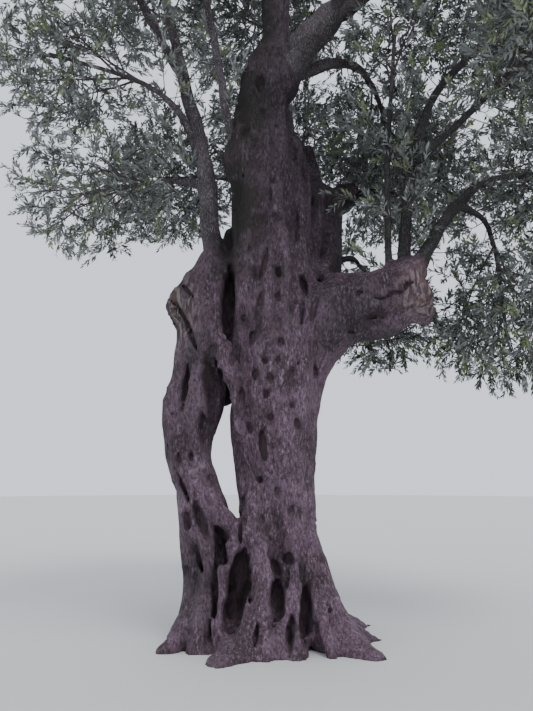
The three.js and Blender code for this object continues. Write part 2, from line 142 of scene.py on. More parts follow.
# Boughs: where each starts, the point it bends past, the mass that it feeds or the point where it ends, and
# its radius at both ends. A start is a point in the wood, or a limb and a share of its length.
BOUGHS = {
    "left_bough": ((-0.56, 0.0, 3.65), (-0.77, 0.0, 5.25), "left_top", 0.105, 0.058),
    "left_side_bough": (("left_bough", 0.42), (-1.05, 0.02, 5.65), "left_high", 0.045, 0.028),
    "left_low_bough": (("left_bough", 0.3), (-0.93, 0.12, 4.74), "left_low", 0.045, 0.028),
    "left_front_bough": (("left_bough", 0.74), (-1.35, -0.5, 6.42), "left_front", 0.05, 0.03),
    "inner_left_bough": ((-0.36, -0.1, 4.75), (-0.56, -0.22, 5.9), "front_left", 0.05, 0.028),
    "fork_left_bough": ((0.1, 0.0, 5.75), (0.02, 0.0, 6.9), "top", 0.2, 0.092),
    "fork_right_bough": ((0.1, 0.0, 5.85), (0.62, 0.0, 6.72), "right_top", 0.19, 0.09),
    "front_right_bough": (("fork_right_bough", 0.5), (0.9, -0.7, 6.9), "front_right", 0.065, 0.034),
    "fork_side_bough": ((0.12, 0.12, 5.9), (1.0, 0.3, 6.4), "right_inner", 0.076, 0.034),
    "back_top_bough": (("fork_left_bough", 0.3), (0.02, 0.7, 6.9), "back_top", 0.075, 0.04),
    "back_stem": ((0.4, 0.26, 3.0), (0.65, 0.52, 4.05), (0.6, 0.7, 4.78), 0.24, 0.2),
    "back_bough": ((0.5, 0.55, 4.45), (0.36, 0.75, 5.6), "back", 0.1, 0.055),
    "back_right_bough": (("back_stem", 0.82), (1.2, 1.3, 5.05), "back_right", 0.085, 0.045),
    "back_left_bough": (("back_stem", 0.86), (-0.45, 1.25, 5.25), "back_left", 0.06, 0.032),
    "back_low_bough": (("back_stem", 0.6), (0.56, 1.45, 4.52), "back_low", 0.06, 0.035),
    "right_under_bough": (("back_stem", 0.42), (0.92, 0.66, 4.12), "right_under", 0.038, 0.025),
    "upright_shoot": ((1.225, -0.02, 3.45), (1.25, -0.02, 5.0), "right_upright", 0.036, 0.022),
    "rising_shoot": ((1.385, 0.0, 3.5), (1.45, 0.0, 5.5), "right_high", 0.062, 0.038),
    "outer_shoot": ((1.48, 0.02, 3.6), (2.05, 0.05, 4.62), "right_mid", 0.075, 0.042),
    "drooping_bough": (("outer_shoot", 0.55), (2.35, 0.18, 4.33), "right_low", 0.036, 0.025),
    "right_front_bough": (("rising_shoot", 0.4), (1.98, -0.55, 5.15), "right_front", 0.045, 0.028),
}
BOUGH_STEPS = 4
ENTRY_SHARE = 0.92

# Twigs and the leafy sprays on them, by the rule that the solids follow
STEM_STEPS = 3
STEM_LEAD = 0.09
STEM_BEND = 0.18
STEM_TIP_RADIUS = 0.02
STEM_REACH_PAST = 0.3
TWIG_TRIES = 6
TWIG_REACHES = (1, 0.8, 0.6)
TWIG_REACH_JITTER = 0.08
TWIG_ROOT_MIDDLE = 0.5
TWIG_ROOT_SPREAD = 0.4
TWIG_ROOT_FIRST = 0.28
TWIG_LEAST_LENGTH = 0.15
TWIG_TESTS = (0.4, 0.7, 1)
TWIG_MARGIN = 0.04
TWIG_BASE_RADIUS = 0.015
TWIG_TIP_RADIUS = 0.012
SPRAY_LENGTH = 0.64
SPRAY_LENGTH_SHARE = 0.6
SPRAY_WIDTH = 0.25
SPRAY_BELLY = 0.45
SPRAY_SPLAY = 0.8
SPRAY_PLACES = (1, 0.72, 0.46)
SPRAY_TRIES = 4
SPRAY_TESTS = (0.3, 0.55, 0.8, 1)
SPRAY_APART = 0.155
TIP_SPLAY = 0.3
SPRAY_ROLL = 1.6
SPRAY_DROOP = 0.25
TIP_SINK = 0.022
SPACE_MARGIN = 0.05
LIMB_MARGIN = 0.014
GOLDEN_ANGLE = math.pi * (3 - math.sqrt(5))
UPRIGHT = 0.95

# The random numbers that the solids are grown with
LOW_32_BITS = 0xFFFFFFFF
SEED_STEP = 0x6D2B79F5
SEED_SHIFTS = (15, 7, 14)
SEED_ODD = 61


# The rule of growth, as the solids follow it


def times(a, b):
    """The low 32 bits of a product."""
    return (a * b) & LOW_32_BITS


def seeded(seed):
    """Random numbers between 0 and 1 that repeat from a seed."""
    state = seed & LOW_32_BITS
    first, second, third = SEED_SHIFTS

    def draw():
        nonlocal state
        state = (state + SEED_STEP) & LOW_32_BITS
        mixed = times(state ^ (state >> first), state | 1)
        mixed ^= (mixed + times(mixed ^ (mixed >> second), mixed | SEED_ODD)) & LOW_32_BITS
        return (mixed ^ (mixed >> third)) / (LOW_32_BITS + 1)

    return draw


def unit(vector):
    """A vector made one long."""
    return vector / np.linalg.norm(vector)


def units(vectors):
    """Vectors along the last axis, each made one long."""
    return vectors / np.linalg.norm(vectors, axis=-1, keepdims=True)


def mix(a, b, share):
    """A value at a share of the way from a to b."""
    return a + (b - a) * share


def curve_point(curve, share):
    """A point of a curve of three control points."""
    a, b, c = curve
    rest = 1 - share
    return a * rest * rest + b * 2 * rest * share + c * share * share


def space_of(sizes):
    """The middle and radii of a mass's space."""
    bearing, reach, height, spread, depth = sizes
    angle = math.radians(bearing)
    centre = np.array((math.cos(angle) * reach, math.sin(angle) * reach, height))
    return {"centre": centre, "radii": np.array((spread, spread, depth))}


SPACES = {name: space_of(sizes) for name, sizes in MASSES.items()}


def outness(space, points):
    """How far out points lie in a space: 0 at the middle and 1 on its surface."""
    return np.linalg.norm((points - space["centre"]) / space["radii"], axis=-1)


def entry_point(space, start):
    """Where a line from a point to the middle of a space enters it."""
    share = 1 - ENTRY_SHARE / outness(space, start)
    return mix(start, space["centre"], share)


def bough_curves():
    """The three control points of every bough, from its start past its bend to its tip."""
    curves = {}
    for name, (start, past, end, *_) in BOUGHS.items():
        origin = curve_point(curves[start[0]], start[1]) if start[0] in curves else np.array(start)
        bend = np.array(past)
        tip = entry_point(SPACES[end], bend) if end in SPACES else np.array(end)
        curves[name] = (origin, bend, tip)
    return curves


CURVES = bough_curves()


def bough_rings(name, steps):
    """Centres and radii along a bough."""
    shares = np.linspace(0, 1, steps + 1)
    centres = np.array([curve_point(CURVES[name], share) for share in shares])
    base, tip = BOUGHS[name][-2:]
    return centres, mix(base, tip, shares)


def stretches():
    """The starts, ends and radii of the stretches of every limb, which twigs and leaves keep clear of."""
    rows = []
    column_share = CORD_OFFSET + CORD_SHARE * (1 + CORD_SWELL)
    for sections in (TRUNK_SECTIONS, STEM_SECTIONS):
        rows.append(np.array([(x, y, height, radius * column_share) for height, x, y, radius in sections]))
    rows.append(np.array(STUB_SECTIONS))
    for name in BOUGHS:
        centres, radii = bough_rings(name, BOUGH_STEPS)
        rows.append(np.column_stack((centres, radii)))
    starts = np.vstack([row[:-1, :3] for row in rows])
    ends = np.vstack([row[1:, :3] for row in rows])
    radii = np.concatenate([np.maximum(row[:-1, 3], row[1:, 3]) for row in rows])
    return starts, ends, radii


LIMB_STARTS, LIMB_ENDS, LIMB_RADII = stretches()


def line_distances(points, starts, ends):
    """Distance of each point to each of several straight lines, with a row for each point."""
    way = ends - starts
    length = np.maximum((way * way).sum(-1), TINY)
    offset = points[:, None, :] - starts[None, :, :]
    share = np.clip((offset * way[None]).sum(-1) / length[None], 0, 1)
    nearest = starts[None] + way[None] * share[..., None]
    return np.linalg.norm(points[:, None, :] - nearest, axis=-1)


def is_free(name, points, margin, space_margin=SPACE_MARGIN):
    """True where points lie in their own space, nearer to it than to any other, and clear of every limb."""
    points = np.atleast_2d(points)
    own = outness(SPACES[name], points)
    free = own <= 1
    for other, space in SPACES.items():
        if other != name:
            free &= outness(space, points) >= own + space_margin
    clear = line_distances(points, LIMB_STARTS, LIMB_ENDS) > LIMB_RADII + margin
    return free & clear.all(axis=1)


def turned(vector, axis, angle):
    """A vector turned by an angle round an axis."""
    return (
        vector * math.cos(angle)
        + np.cross(axis, vector) * math.sin(angle)
        + axis * vector.dot(axis) * (1 - math.cos(angle))
    )


def side_of(direction, angle):
    """A direction at right angles to another, turned by an angle round it."""
    level = np.array((1.0, 0, 0)) if abs(direction[2]) > UPRIGHT else np.array((0, 0, 1.0))
    return turned(unit(np.cross(level, direction)), direction, angle)


def stem_rings(name, tip_centres, tip_radius):
    """The stem of a mass: it carries on from the bough's tip and bends through the middle of the space."""
    onward = unit(tip_centres[-1] - tip_centres[-2])
    start = tip_centres[-1] + onward * GAP
    lead = start + onward * STEM_LEAD
    centre = SPACES[name]["centre"]
    end = centre + (centre - start) * STEM_REACH_PAST
    curve = (lead, lead + onward * STEM_BEND, end)
    shares = np.linspace(0, 1, STEM_STEPS)
    centres = np.array([start, *[curve_point(curve, share) for share in shares]])
    return centres, mix(tip_radius, STEM_TIP_RADIUS, np.arange(STEM_STEPS + 1) / STEM_STEPS), curve


def point_along(centres, share):
    """The point at a share of a row of centres."""
    place = share * (len(centres) - 1)
    i = min(int(place), len(centres) - 2)
    return mix(centres[i], centres[i + 1], place - i)


def spray_length(space):
    """How long the sprays of a mass are."""
    return min(SPRAY_LENGTH, space["radii"][0] * SPRAY_LENGTH_SHARE)


def twigs_of(name, stem, random):
    """The main twigs of a mass: aimed evenly all round its space, and drawn in or skipped where not free."""
    space = SPACES[name]
    stem_way = unit(stem[-1] - stem[0])
    spin = random() * 2 * math.pi
    twigs = []
    for i in range(TWIG_TRIES):
        level = 1 - (2 * i + 1) / TWIG_TRIES
        round_share = math.sqrt(1 - level * level)
        turn = spin + i * GOLDEN_ANGLE
        way = np.array((math.cos(turn) * round_share, math.sin(turn) * round_share, level))
        length = spray_length(space) / space["radii"][0]
        share = TWIG_ROOT_MIDDLE + TWIG_ROOT_SPREAD * way.dot(stem_way)
        root = point_along(stem, max(share, TWIG_ROOT_FIRST))
        for reach in TWIG_REACHES:
            out = (1 - length) * reach * (1 + TWIG_REACH_JITTER * (2 * random() - 1))
            tip = space["centre"] + way * space["radii"] * out
            if np.linalg.norm(tip - root) < TWIG_LEAST_LENGTH:
                continue
            tests = np.array([mix(root, tip, place) for place in TWIG_TESTS])
            if is_free(name, tests, TWIG_MARGIN).all():
                twigs.append((root, tip))
                break
    return twigs


def is_apart(root, tip, placed):
    """True where a spray's middle line keeps clear of the sprays already in its mass."""
    if not placed:
        return True
    points = np.array([mix(root, tip, share) for share in SPRAY_TESTS])
    starts, ends = np.array(placed).transpose(1, 0, 2)
    return bool((line_distances(points, starts, ends) > SPRAY_APART).all())


def sprays_of(name, twig, placed, random):
    """The sprays of one twig as roots and tips: some splayed along it and one at its tip."""
    length = spray_length(SPACES[name])
    tip_way = unit(twig[1] - twig[0])
    sprays = []
    for place in SPRAY_PLACES:
        at_tip = place == 1
        root = mix(twig[0], twig[1], place)
        if at_tip:
            root = root - tip_way * TIP_SINK
        for attempt in range(SPRAY_TRIES):
            splay = TIP_SPLAY * attempt if at_tip else SPRAY_SPLAY
            way = unit(tip_way + side_of(tip_way, random() * 2 * math.pi) * splay)
            way[2] -= SPRAY_DROOP * random()
            way = unit(way)
            face = side_of(way, (random() - 0.5) * SPRAY_ROLL)
            tip = root + way * length
            side = unit(np.cross(way, face))
            belly = mix(root, tip, SPRAY_BELLY)
            edges = [belly + side * SPRAY_WIDTH * share for share in (-0.5, 0.5)]
            tests = np.array([tip, belly, mix(belly, tip, 0.5), *edges])
            if not is_free(name, tests, LIMB_MARGIN).all():
                continue
            if not is_apart(root, tip, placed):
                continue
            placed.append((mix(root, tip, SPRAY_TESTS[0]), tip))
            sprays.append((root, tip))
            break
    return sprays


# Meshes


def new_object(name, vertices, faces, smooth=True):
    """An object of a mesh in the tree's frame. Faces are one or more arrays of vertex numbers."""
    mesh = bpy.data.meshes.new(name)
    groups = faces if isinstance(faces, list) else [faces]
    loops = np.concatenate([group.ravel() for group in groups])
    sizes = np.concatenate([np.full(len(group), group.shape[1]) for group in groups])
    mesh.vertices.add(len(vertices))
    mesh.vertices.foreach_set("co", np.asarray(vertices, np.float32).ravel())
    mesh.loops.add(len(loops))
    mesh.loops.foreach_set("vertex_index", loops.astype(np.int32))
    mesh.polygons.add(len(sizes))
    mesh.polygons.foreach_set("loop_start", (np.cumsum(sizes) - sizes).astype(np.int32))
    mesh.polygons.foreach_set("use_smooth", np.full(len(sizes), smooth))
    mesh.update(calc_edges=True)
    mesh.validate()
    obj = bpy.data.objects.new(name, mesh)
    bpy.context.scene.collection.objects.link(obj)
    return obj


def add_attribute(obj, name, kind, values, domain="POINT"):
    """Stores values on the points or the faces of a mesh."""
    attribute = obj.data.attributes.new(name, kind, domain)
    field = "vector" if kind == "FLOAT_VECTOR" else "value"
    attribute.data.foreach_set(field, np.ascontiguousarray(values).ravel())


def finish_piece(obj, materials, slot, *nodes):
    """Gives a piece its finish and its body, and hides the solids that it stands for. The slot is not used.
    """
    if materials:
        obj.data.materials.clear()
        for material in materials:
            obj.data.materials.append(material)
    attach(obj, BODY)
    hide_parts(*nodes)
    return obj


def ring_frames(centres):
    """Two directions across each of several rows of centres, shaped rows by rings by 3."""
    ways = np.diff(centres, axis=1)
    ways /= np.maximum(np.linalg.norm(ways, axis=-1, keepdims=True), TINY)
    along = np.concatenate((ways[:, :1], ways[:, :-1] + ways[:, 1:], ways[:, -1:]), axis=1)
    along = units(along)
    upright = np.abs(along[:, 0, 2]) > UPRIGHT
    carried = np.where(upright[:, None], (1.0, 0, 0), (0, 0, 1.0))
    across = np.empty_like(along)
    for i in range(along.shape[1]):
        carried = units(carried - along[:, i] * (carried * along[:, i]).sum(-1, keepdims=True))
        across[:, i] = carried
    return across, np.cross(along, across)


def tubes(centres, radii, sides):
    """Closed tapering tubes along rows of centres, as vertices, side faces and the faces of both ends."""
    rows, rings = radii.shape
    across, beside = ring_frames(centres)
    angles = np.arange(sides) * 2 * math.pi / sides
    spread = (
        across[:, :, None] * np.cos(angles)[None, None, :, None]
        + beside[:, :, None] * np.sin(angles)[None, None, :, None]
    )
    vertices = centres[:, :, None] + spread * radii[:, :, None, None]
    index = np.arange(rows * rings * sides).reshape(rows, rings, sides)
    after = np.roll(index, -1, axis=2)
    walls = np.stack((index[:, :-1], after[:, :-1], after[:, 1:], index[:, 1:]), axis=-1).reshape(-1, 4)
    ends = np.concatenate((index[:, 0, ::-1], index[:, -1]))
    return vertices.reshape(-1, 3), walls, ends


# Noise on a lattice, and the surface of a field on a grid

NOISE_SIZE = 32
CELL_CORNERS = 8


def lattice_noise(points, sizes, seed):
    """Smooth noise between -1 and 1, with the length of its waves along each axis."""
    table = np.random.default_rng(seed).random((NOISE_SIZE,) * 3, dtype=np.float32) * 2 - 1
    place = points / np.asarray(sizes, np.float32)
    low = np.floor(place).astype(np.int32)
    share = place - low
    share = share * share * (3 - 2 * share)
    total = np.zeros(len(points), np.float32)
    for corner in np.ndindex(2, 2, 2):
        index = (low + corner) & (NOISE_SIZE - 1)
        weight = np.prod(np.where(corner, share, 1 - share), axis=1)
        total += table[index[:, 0], index[:, 1], index[:, 2]] * weight
    return total


def layered_noise(points, sizes, layers, seed):
    """Noise with finer layers laid over it, each half as large and half as strong."""
    sizes = np.asarray(sizes, np.float32)
    total = np.zeros(len(points), np.float32)
    for layer in range(layers):
        total += lattice_noise(points, sizes / 2**layer, seed + layer) / 2**layer
    return total


# The grid on which the wood is worked out, how softly strands blend, and how far round them it is read
GRID_LOW = np.array((-1.35, -1.12, -0.055))
GRID_HIGH = np.array((2.08, 1.24, 7.95))
GRID_CELL = np.array((0.0225, 0.0225, 0.0295))
BLEND = 0.022
SEARCH = 0.25


def grid_axis(axis):
    """The places of the grid's points along an axis."""
    count = int(math.ceil((GRID_HIGH[axis] - GRID_LOW[axis]) / GRID_CELL[axis]))
    return (GRID_LOW[axis] + GRID_CELL[axis] * np.arange(count)).astype(np.float32)


GRID = [grid_axis(axis) for axis in range(3)]


def block_of(low, high):
    """The slices of the grid that cover a box."""
    first = np.floor((np.asarray(low) - GRID_LOW) / GRID_CELL).astype(int)
    last = np.ceil((np.asarray(high) - GRID_LOW) / GRID_CELL).astype(int) + 1
    return tuple(
        slice(max(0, a), max(0, min(b, len(GRID[axis])))) for axis, (a, b) in enumerate(zip(first, last))
    )


def block_round(rows, reach):
    """The slices of the grid within a reach of rows of centres."""
    centres = np.array(rows)[:, :3]
    return block_of(centres.min(0) - reach, centres.max(0) + reach)


def block_points(block):
    """The places of a block's points along the three axes, ready to be combined."""
    x, y, z = [GRID[axis][block[axis]] for axis in range(3)]
    return x[:, None, None], y[None, :, None], z[None, None, :]


def smooth_row(rows, steps):
    """More centres and radii along a row, on a smooth curve through those it has."""
    rows = np.asarray(rows, float)
    padded = np.vstack((2 * rows[0] - rows[1], rows, 2 * rows[-1] - rows[-2]))
    made = []
    for a, b, c, d in zip(padded, padded[1:], padded[2:], padded[3:]):
        bend = 2 * a - 5 * b + 4 * c - d
        twist = 3 * b - a - 3 * c + d
        made += [0.5 * (2 * b + (c - a) * t + bend * t**2 + twist * t**3) for t in np.arange(steps) / steps]
    made.append(rows[-1])
    return np.array(made)


def add_strand(total, rows):
    """Adds a strand, a row of centres and radii, to the running sum from which the wood's surface is read."""
    whole = block_round(rows, rows[:, 3].max() + SEARCH)
    near = np.ones(total[whole].shape, np.float32)
    for a, b in zip(rows, rows[1:]):
        part = block_round((a, b), max(a[3], b[3]) + SEARCH)
        inner = tuple(slice(p.start - w.start, p.stop - w.start) for p, w in zip(part, whole))
        if near[inner].size == 0:
            continue
        x, y, z = block_points(part)
        way = b[:3] - a[:3]
        share = ((x - a[0]) * way[0] + (y - a[1]) * way[1] + (z - a[2]) * way[2]) / max(way.dot(way), TINY)
        share = np.clip(share, 0, 1)
        offsets = [place - start - share * step for place, start, step in zip((x, y, z), a, way)]
        distance = np.sqrt(sum(offset**2 for offset in offsets))
        distance -= a[3] + (b[3] - a[3]) * share
        near[inner] = np.minimum(near[inner], distance)
    total[whole] += np.exp(-near / BLEND)


def surface_net(field):
    """Vertices and quads of the surface where a field on the grid is zero; the field is negative inside."""
    steps = np.eye(3, dtype=int)
    inside = field < 0
    count = np.zeros(np.array(field.shape) - 1, np.int8)
    for corner in np.ndindex(2, 2, 2):
        count += inside[tuple(slice(c, c + n) for c, n in zip(corner, count.shape))]
    cells = np.argwhere((count > 0) & (count < CELL_CORNERS))
    number = np.full(count.shape, -1, np.int32)
    number[tuple(cells.T)] = np.arange(len(cells))
    total = np.zeros((len(cells), 3))
    crossings = np.zeros(len(cells))
    for axis, step in enumerate(steps):
        for offset in np.ndindex(2, 2, 2):
            if offset[axis]:
                continue
            start = cells + offset
            a = field[tuple(start.T)]
            b = field[tuple((start + step).T)]
            crossed = (a < 0) != (b < 0)
            share = np.where(crossed, a / np.where(crossed, a - b, 1), 0)
            total += (start + step * share[:, None]) * crossed[:, None]
            crossings += crossed
    vertices = GRID_LOW + total / crossings[:, None] * GRID_CELL
    quads = []
    for axis, step in enumerate(steps):
        first, second = steps[(axis + 1) % 3], steps[(axis + 2) % 3]
        near = inside[tuple(slice(0, n - s) for n, s in zip(inside.shape, step))]
        far = inside[tuple(slice(s, n) for n, s in zip(inside.shape, step))]
        edges = np.argwhere(near != far)
        edges = edges[(edges[:, (axis + 1) % 3] > 0) & (edges[:, (axis + 2) % 3] > 0)]
        outward = near[tuple(edges.T)]
        around = [edges, edges - first, edges - first - second, edges - second]
        quad = np.stack([number[tuple(cell.T)] for cell in around], axis=1)
        quad[~outward] = quad[~outward, ::-1]
        quads.append(quad)
    return vertices, np.vstack(quads)


# The wood: its strands, roots, hollows and pits

# How finely strands are drawn, how cords wander, how boughs swell at their foot, and how the sawn limb ends
COLUMN_STEPS = 3
LIMB_STEPS = 14
WANDER = 0.022
WANDER_LENGTHS = (0.7, 0.7, 0.9)
WANDER_SEEDS = (40, 60)
COLLAR_SHARE = 0.16
COLLAR_SWELLS = (1.3, 0.75)
BACK_STEM_SHARE = 0.92
STUB_ROUNDING = 0.05
STUB_RAGGED_LENGTHS = (0.3, 0.16, 0.17)
STUB_RAGGED_HEIGHT = 0.07
STUB_RAGGED_SEED = 31
STUB_CUT_BACK = 0.06

# Boughs that swell where they leave the wood
COLLARED = (
    "left_bough", "inner_left_bough", "fork_right_bough", "fork_side_bough", "back_top_bough", "back_bough",
    "back_right_bough", "back_left_bough", "back_low_bough", "right_under_bough", "upright_shoot",
    "rising_shoot", "outer_shoot",
)

# Roots, cords and swellings that are blended into the wood, each a row of x, y, z and radius
STRANDS = {
    "left_outer": (
        (-0.84, -0.12, 1.62, 0.07), (-0.8, -0.18, 1.25, 0.08), (-0.78, -0.22, 0.8, 0.075),
        (-0.77, -0.26, 0.35, 0.08), (-0.84, -0.36, -0.1, 0.1),
    ),
    "left_second": (
        (-0.66, -0.27, 1.1, 0.045), (-0.61, -0.31, 0.94, 0.066), (-0.6, -0.34, 0.66, 0.058),
        (-0.63, -0.4, 0.3, 0.062), (-0.7, -0.52, -0.05, 0.075),
    ),
    "left_diagonal": (
        (-1.0, -0.12, 2.3, 0.075), (-0.96, -0.2, 1.95, 0.085), (-0.82, -0.27, 1.62, 0.09),
        (-0.64, -0.32, 1.38, 0.085), (-0.47, -0.33, 1.18, 0.08), (-0.32, -0.26, 1.02, 0.08),
    ),
    "oval_lip": (
        (-0.6, -0.28, 1.02, 0.034), (-0.66, -0.3, 1.24, 0.034), (-0.74, -0.29, 1.38, 0.036),
        (-0.815, -0.28, 1.3, 0.036), (-0.8, -0.29, 1.12, 0.034), (-0.72, -0.31, 0.98, 0.034),
    ),
    "arch": (
        (-0.16, -0.18, 1.32, 0.08), (-0.22, -0.28, 1.12, 0.085), (-0.35, -0.39, 0.93, 0.065),
        (-0.445, -0.44, 0.7, 0.056), (-0.47, -0.46, 0.4, 0.06), (-0.46, -0.53, 0.16, 0.062),
        (-0.45, -0.6, -0.05, 0.06),
    ),
    "front": (
        (-0.16, -0.2, 1.45, 0.1), (-0.13, -0.31, 1.1, 0.1), (-0.1, -0.41, 0.8, 0.105),
        (-0.1, -0.49, 0.52, 0.095), (-0.17, -0.59, 0.3, 0.07), (-0.29, -0.72, 0.1, 0.055),
        (-0.4, -0.82, -0.06, 0.05),
    ),
    "front_toe": (
        (-0.09, -0.5, 0.52, 0.08), (-0.06, -0.62, 0.27, 0.062), (-0.05, -0.74, 0.06, 0.05),
        (-0.06, -0.8, -0.08, 0.05),
    ),
    "front_middle": ((-0.13, -0.56, 0.38, 0.05), (-0.18, -0.68, 0.16, 0.045), (-0.2, -0.78, -0.05, 0.045)),
    "leg": (
        (0.16, -0.2, 1.16, 0.06), (0.17, -0.34, 0.92, 0.065), (0.2, -0.44, 0.74, 0.052),
        (0.205, -0.5, 0.52, 0.05), (0.13, -0.56, 0.38, 0.045), (0.08, -0.64, 0.22, 0.04),
        (0.06, -0.73, -0.04, 0.045),
    ),
    "leg_toe": (
        (0.195, -0.51, 0.5, 0.045), (0.235, -0.58, 0.34, 0.04), (0.245, -0.66, 0.16, 0.038),
        (0.25, -0.72, -0.04, 0.045),
    ),
    "right_flank": (
        (0.27, -0.08, 1.3, 0.09), (0.33, -0.18, 1.0, 0.1), (0.4, -0.26, 0.7, 0.12),
        (0.5, -0.33, 0.42, 0.11), (0.66, -0.42, 0.16, 0.085), (0.9, -0.54, -0.06, 0.06),
    ),
    "right_toe": ((0.4, -0.36, 0.55, 0.08), (0.46, -0.54, 0.24, 0.065), (0.54, -0.72, -0.05, 0.055)),
    "right_back": ((0.42, -0.05, 0.72, 0.09), (0.62, -0.12, 0.3, 0.08), (0.9, -0.2, -0.06, 0.06)),
    "left_mound": ((-0.72, -0.32, 0.3, 0.08), (-0.86, -0.44, 0.1, 0.07), (-1.0, -0.54, -0.05, 0.05)),
    "window_cord": (
        (-0.2, -0.12, 2.75, 0.1), (-0.315, -0.1, 2.3, 0.095), (-0.325, -0.1, 1.9, 0.09),
        (-0.29, -0.12, 1.55, 0.08), (-0.24, -0.16, 1.25, 0.08),
    ),
    "right_cord": (
        (0.22, -0.1, 2.7, 0.1), (0.3, -0.14, 2.25, 0.1), (0.31, -0.15, 1.85, 0.095),
        (0.29, -0.14, 1.45, 0.08), (0.27, -0.1, 1.15, 0.07),
    ),
    "middle_cord": (
        (0.02, -0.28, 3.6, 0.08), (0.06, -0.38, 3.05, 0.085), (0.03, -0.38, 2.4, 0.09),
        (0.1, -0.34, 1.8, 0.085), (0.06, -0.3, 1.25, 0.07),
    ),
    "flank_strand": (
        (0.2, 0.06, 5.45, 0.05), (0.27, 0.02, 5.0, 0.05), (0.3, -0.06, 4.6, 0.045),
        (0.315, -0.13, 4.2, 0.042), (0.31, -0.18, 3.8, 0.044), (0.28, -0.26, 3.4, 0.05),
        (0.21, -0.32, 3.05, 0.05), (0.14, -0.24, 2.75, 0.05),
    ),
    "flank_web": (
        (0.28, 0.2, 5.2, 0.06), (0.33, 0.24, 4.7, 0.1), (0.34, 0.22, 4.2, 0.1), (0.34, 0.18, 3.7, 0.1),
    ),
    "front_strand": (
        (0.06, -0.18, 5.2, 0.05), (0.09, -0.25, 4.8, 0.05), (0.06, -0.31, 4.3, 0.06),
        (0.13, -0.36, 3.7, 0.07), (0.1, -0.4, 3.2, 0.07), (0.16, -0.38, 2.5, 0.07),
    ),
    "moss_cord": (
        (-0.24, -0.12, 5.4, 0.06), (-0.28, -0.17, 4.95, 0.07), (-0.22, -0.26, 4.45, 0.075),
        (-0.2, -0.3, 4.05, 0.08), (-0.24, -0.34, 3.6, 0.07), (-0.2, -0.38, 3.1, 0.06),
    ),
    "slot_cord": (
        (-0.6, -0.06, 3.95, 0.1), (-0.62, -0.16, 3.6, 0.1), (-0.6, -0.24, 3.25, 0.09),
        (-0.52, -0.32, 2.92, 0.09), (-0.41, -0.36, 2.62, 0.085), (-0.33, -0.34, 2.3, 0.07),
        (-0.3, -0.24, 1.95, 0.07),
    ),
    "shoulder_cord": (
        (-0.7, -0.08, 3.8, 0.06), (-0.76, -0.18, 3.45, 0.065), (-0.72, -0.26, 3.1, 0.06),
        (-0.66, -0.29, 2.75, 0.06),
    ),
    "stem_cord": (
        (-0.8, -0.16, 2.95, 0.07), (-0.88, -0.2, 2.6, 0.085), (-0.95, -0.2, 2.25, 0.09),
        (-0.98, -0.18, 1.95, 0.085),
    ),
    "stem_second": (
        (-0.6, -0.26, 2.55, 0.06), (-0.72, -0.26, 2.2, 0.07), (-0.76, -0.28, 1.9, 0.07),
        (-0.66, -0.28, 1.62, 0.06),
    ),
    "arch_backing": ((-0.3, 0.1, 0.2, 0.16), (-0.34, 0.06, 0.7, 0.15), (-0.4, 0.02, 1.02, 0.1)),
    "slot_backing": (
        (-0.47, 0.14, 2.34, 0.07), (-0.48, 0.13, 2.6, 0.12), (-0.47, 0.13, 3.2, 0.13),
        (-0.47, 0.12, 3.8, 0.12), (-0.44, 0.08, 4.08, 0.07),
    ),
    "knob": ((-0.28, -0.1, 4.6, 0.11), (-0.37, -0.12, 4.76, 0.1), (-0.42, -0.14, 4.88, 0.07)),
    "back_top_left": (
        (0.52, 0.56, 4.3, 0.15), (0.5, 0.64, 4.75, 0.13), (0.46, 0.69, 5.05, 0.1),
        (0.43, 0.73, 5.35, 0.065),
    ),
    "back_top_right": (
        (0.62, 0.58, 4.2, 0.16), (0.72, 0.7, 4.7, 0.115), (0.88, 0.9, 4.92, 0.085), (1.0, 1.02, 5.0, 0.06),
    ),
    "back_cord": (
        (0.56, 0.34, 4.6, 0.05), (0.5, 0.3, 4.2, 0.07), (0.44, 0.16, 3.8, 0.07), (0.4, 0.0, 3.56, 0.06),
        (0.5, -0.13, 3.46, 0.05), (0.7, -0.18, 3.5, 0.04),
    ),
    "back_fold": (
        (0.62, 0.3, 3.95, 0.06), (0.56, 0.12, 3.68, 0.055), (0.66, -0.02, 3.58, 0.05),
        (0.86, -0.06, 3.6, 0.04),
    ),
    "stub_under": (
        (0.3, -0.02, 1.9, 0.08), (0.35, -0.06, 2.25, 0.105), (0.42, -0.08, 2.55, 0.13),
        (0.58, -0.1, 2.85, 0.14), (0.82, -0.12, 3.08, 0.12), (1.15, -0.14, 3.2, 0.11),
    ),
    "stub_ridge": (
        (0.16, -0.16, 2.9, 0.09), (0.34, -0.24, 3.12, 0.09), (0.62, -0.26, 3.34, 0.085),
        (1.0, -0.24, 3.46, 0.07), (1.38, -0.26, 3.55, 0.085),
    ),
    "stub_fold_low": (
        (0.42, -0.24, 2.9, 0.06), (0.7, -0.28, 3.12, 0.06), (1.05, -0.26, 3.24, 0.055),
        (1.32, -0.24, 3.26, 0.06), (1.46, -0.22, 3.32, 0.06),
    ),
    "stub_tip_high": ((1.2, -0.1, 3.62, 0.05), (1.41, -0.1, 3.7, 0.065), (1.5, -0.08, 3.74, 0.05)),
    "stub_belly": (
        (0.62, -0.06, 3.0, 0.12), (0.85, -0.08, 3.04, 0.14), (1.05, -0.1, 3.07, 0.15),
        (1.22, -0.1, 3.11, 0.145), (1.36, -0.1, 3.18, 0.125),
    ),
}

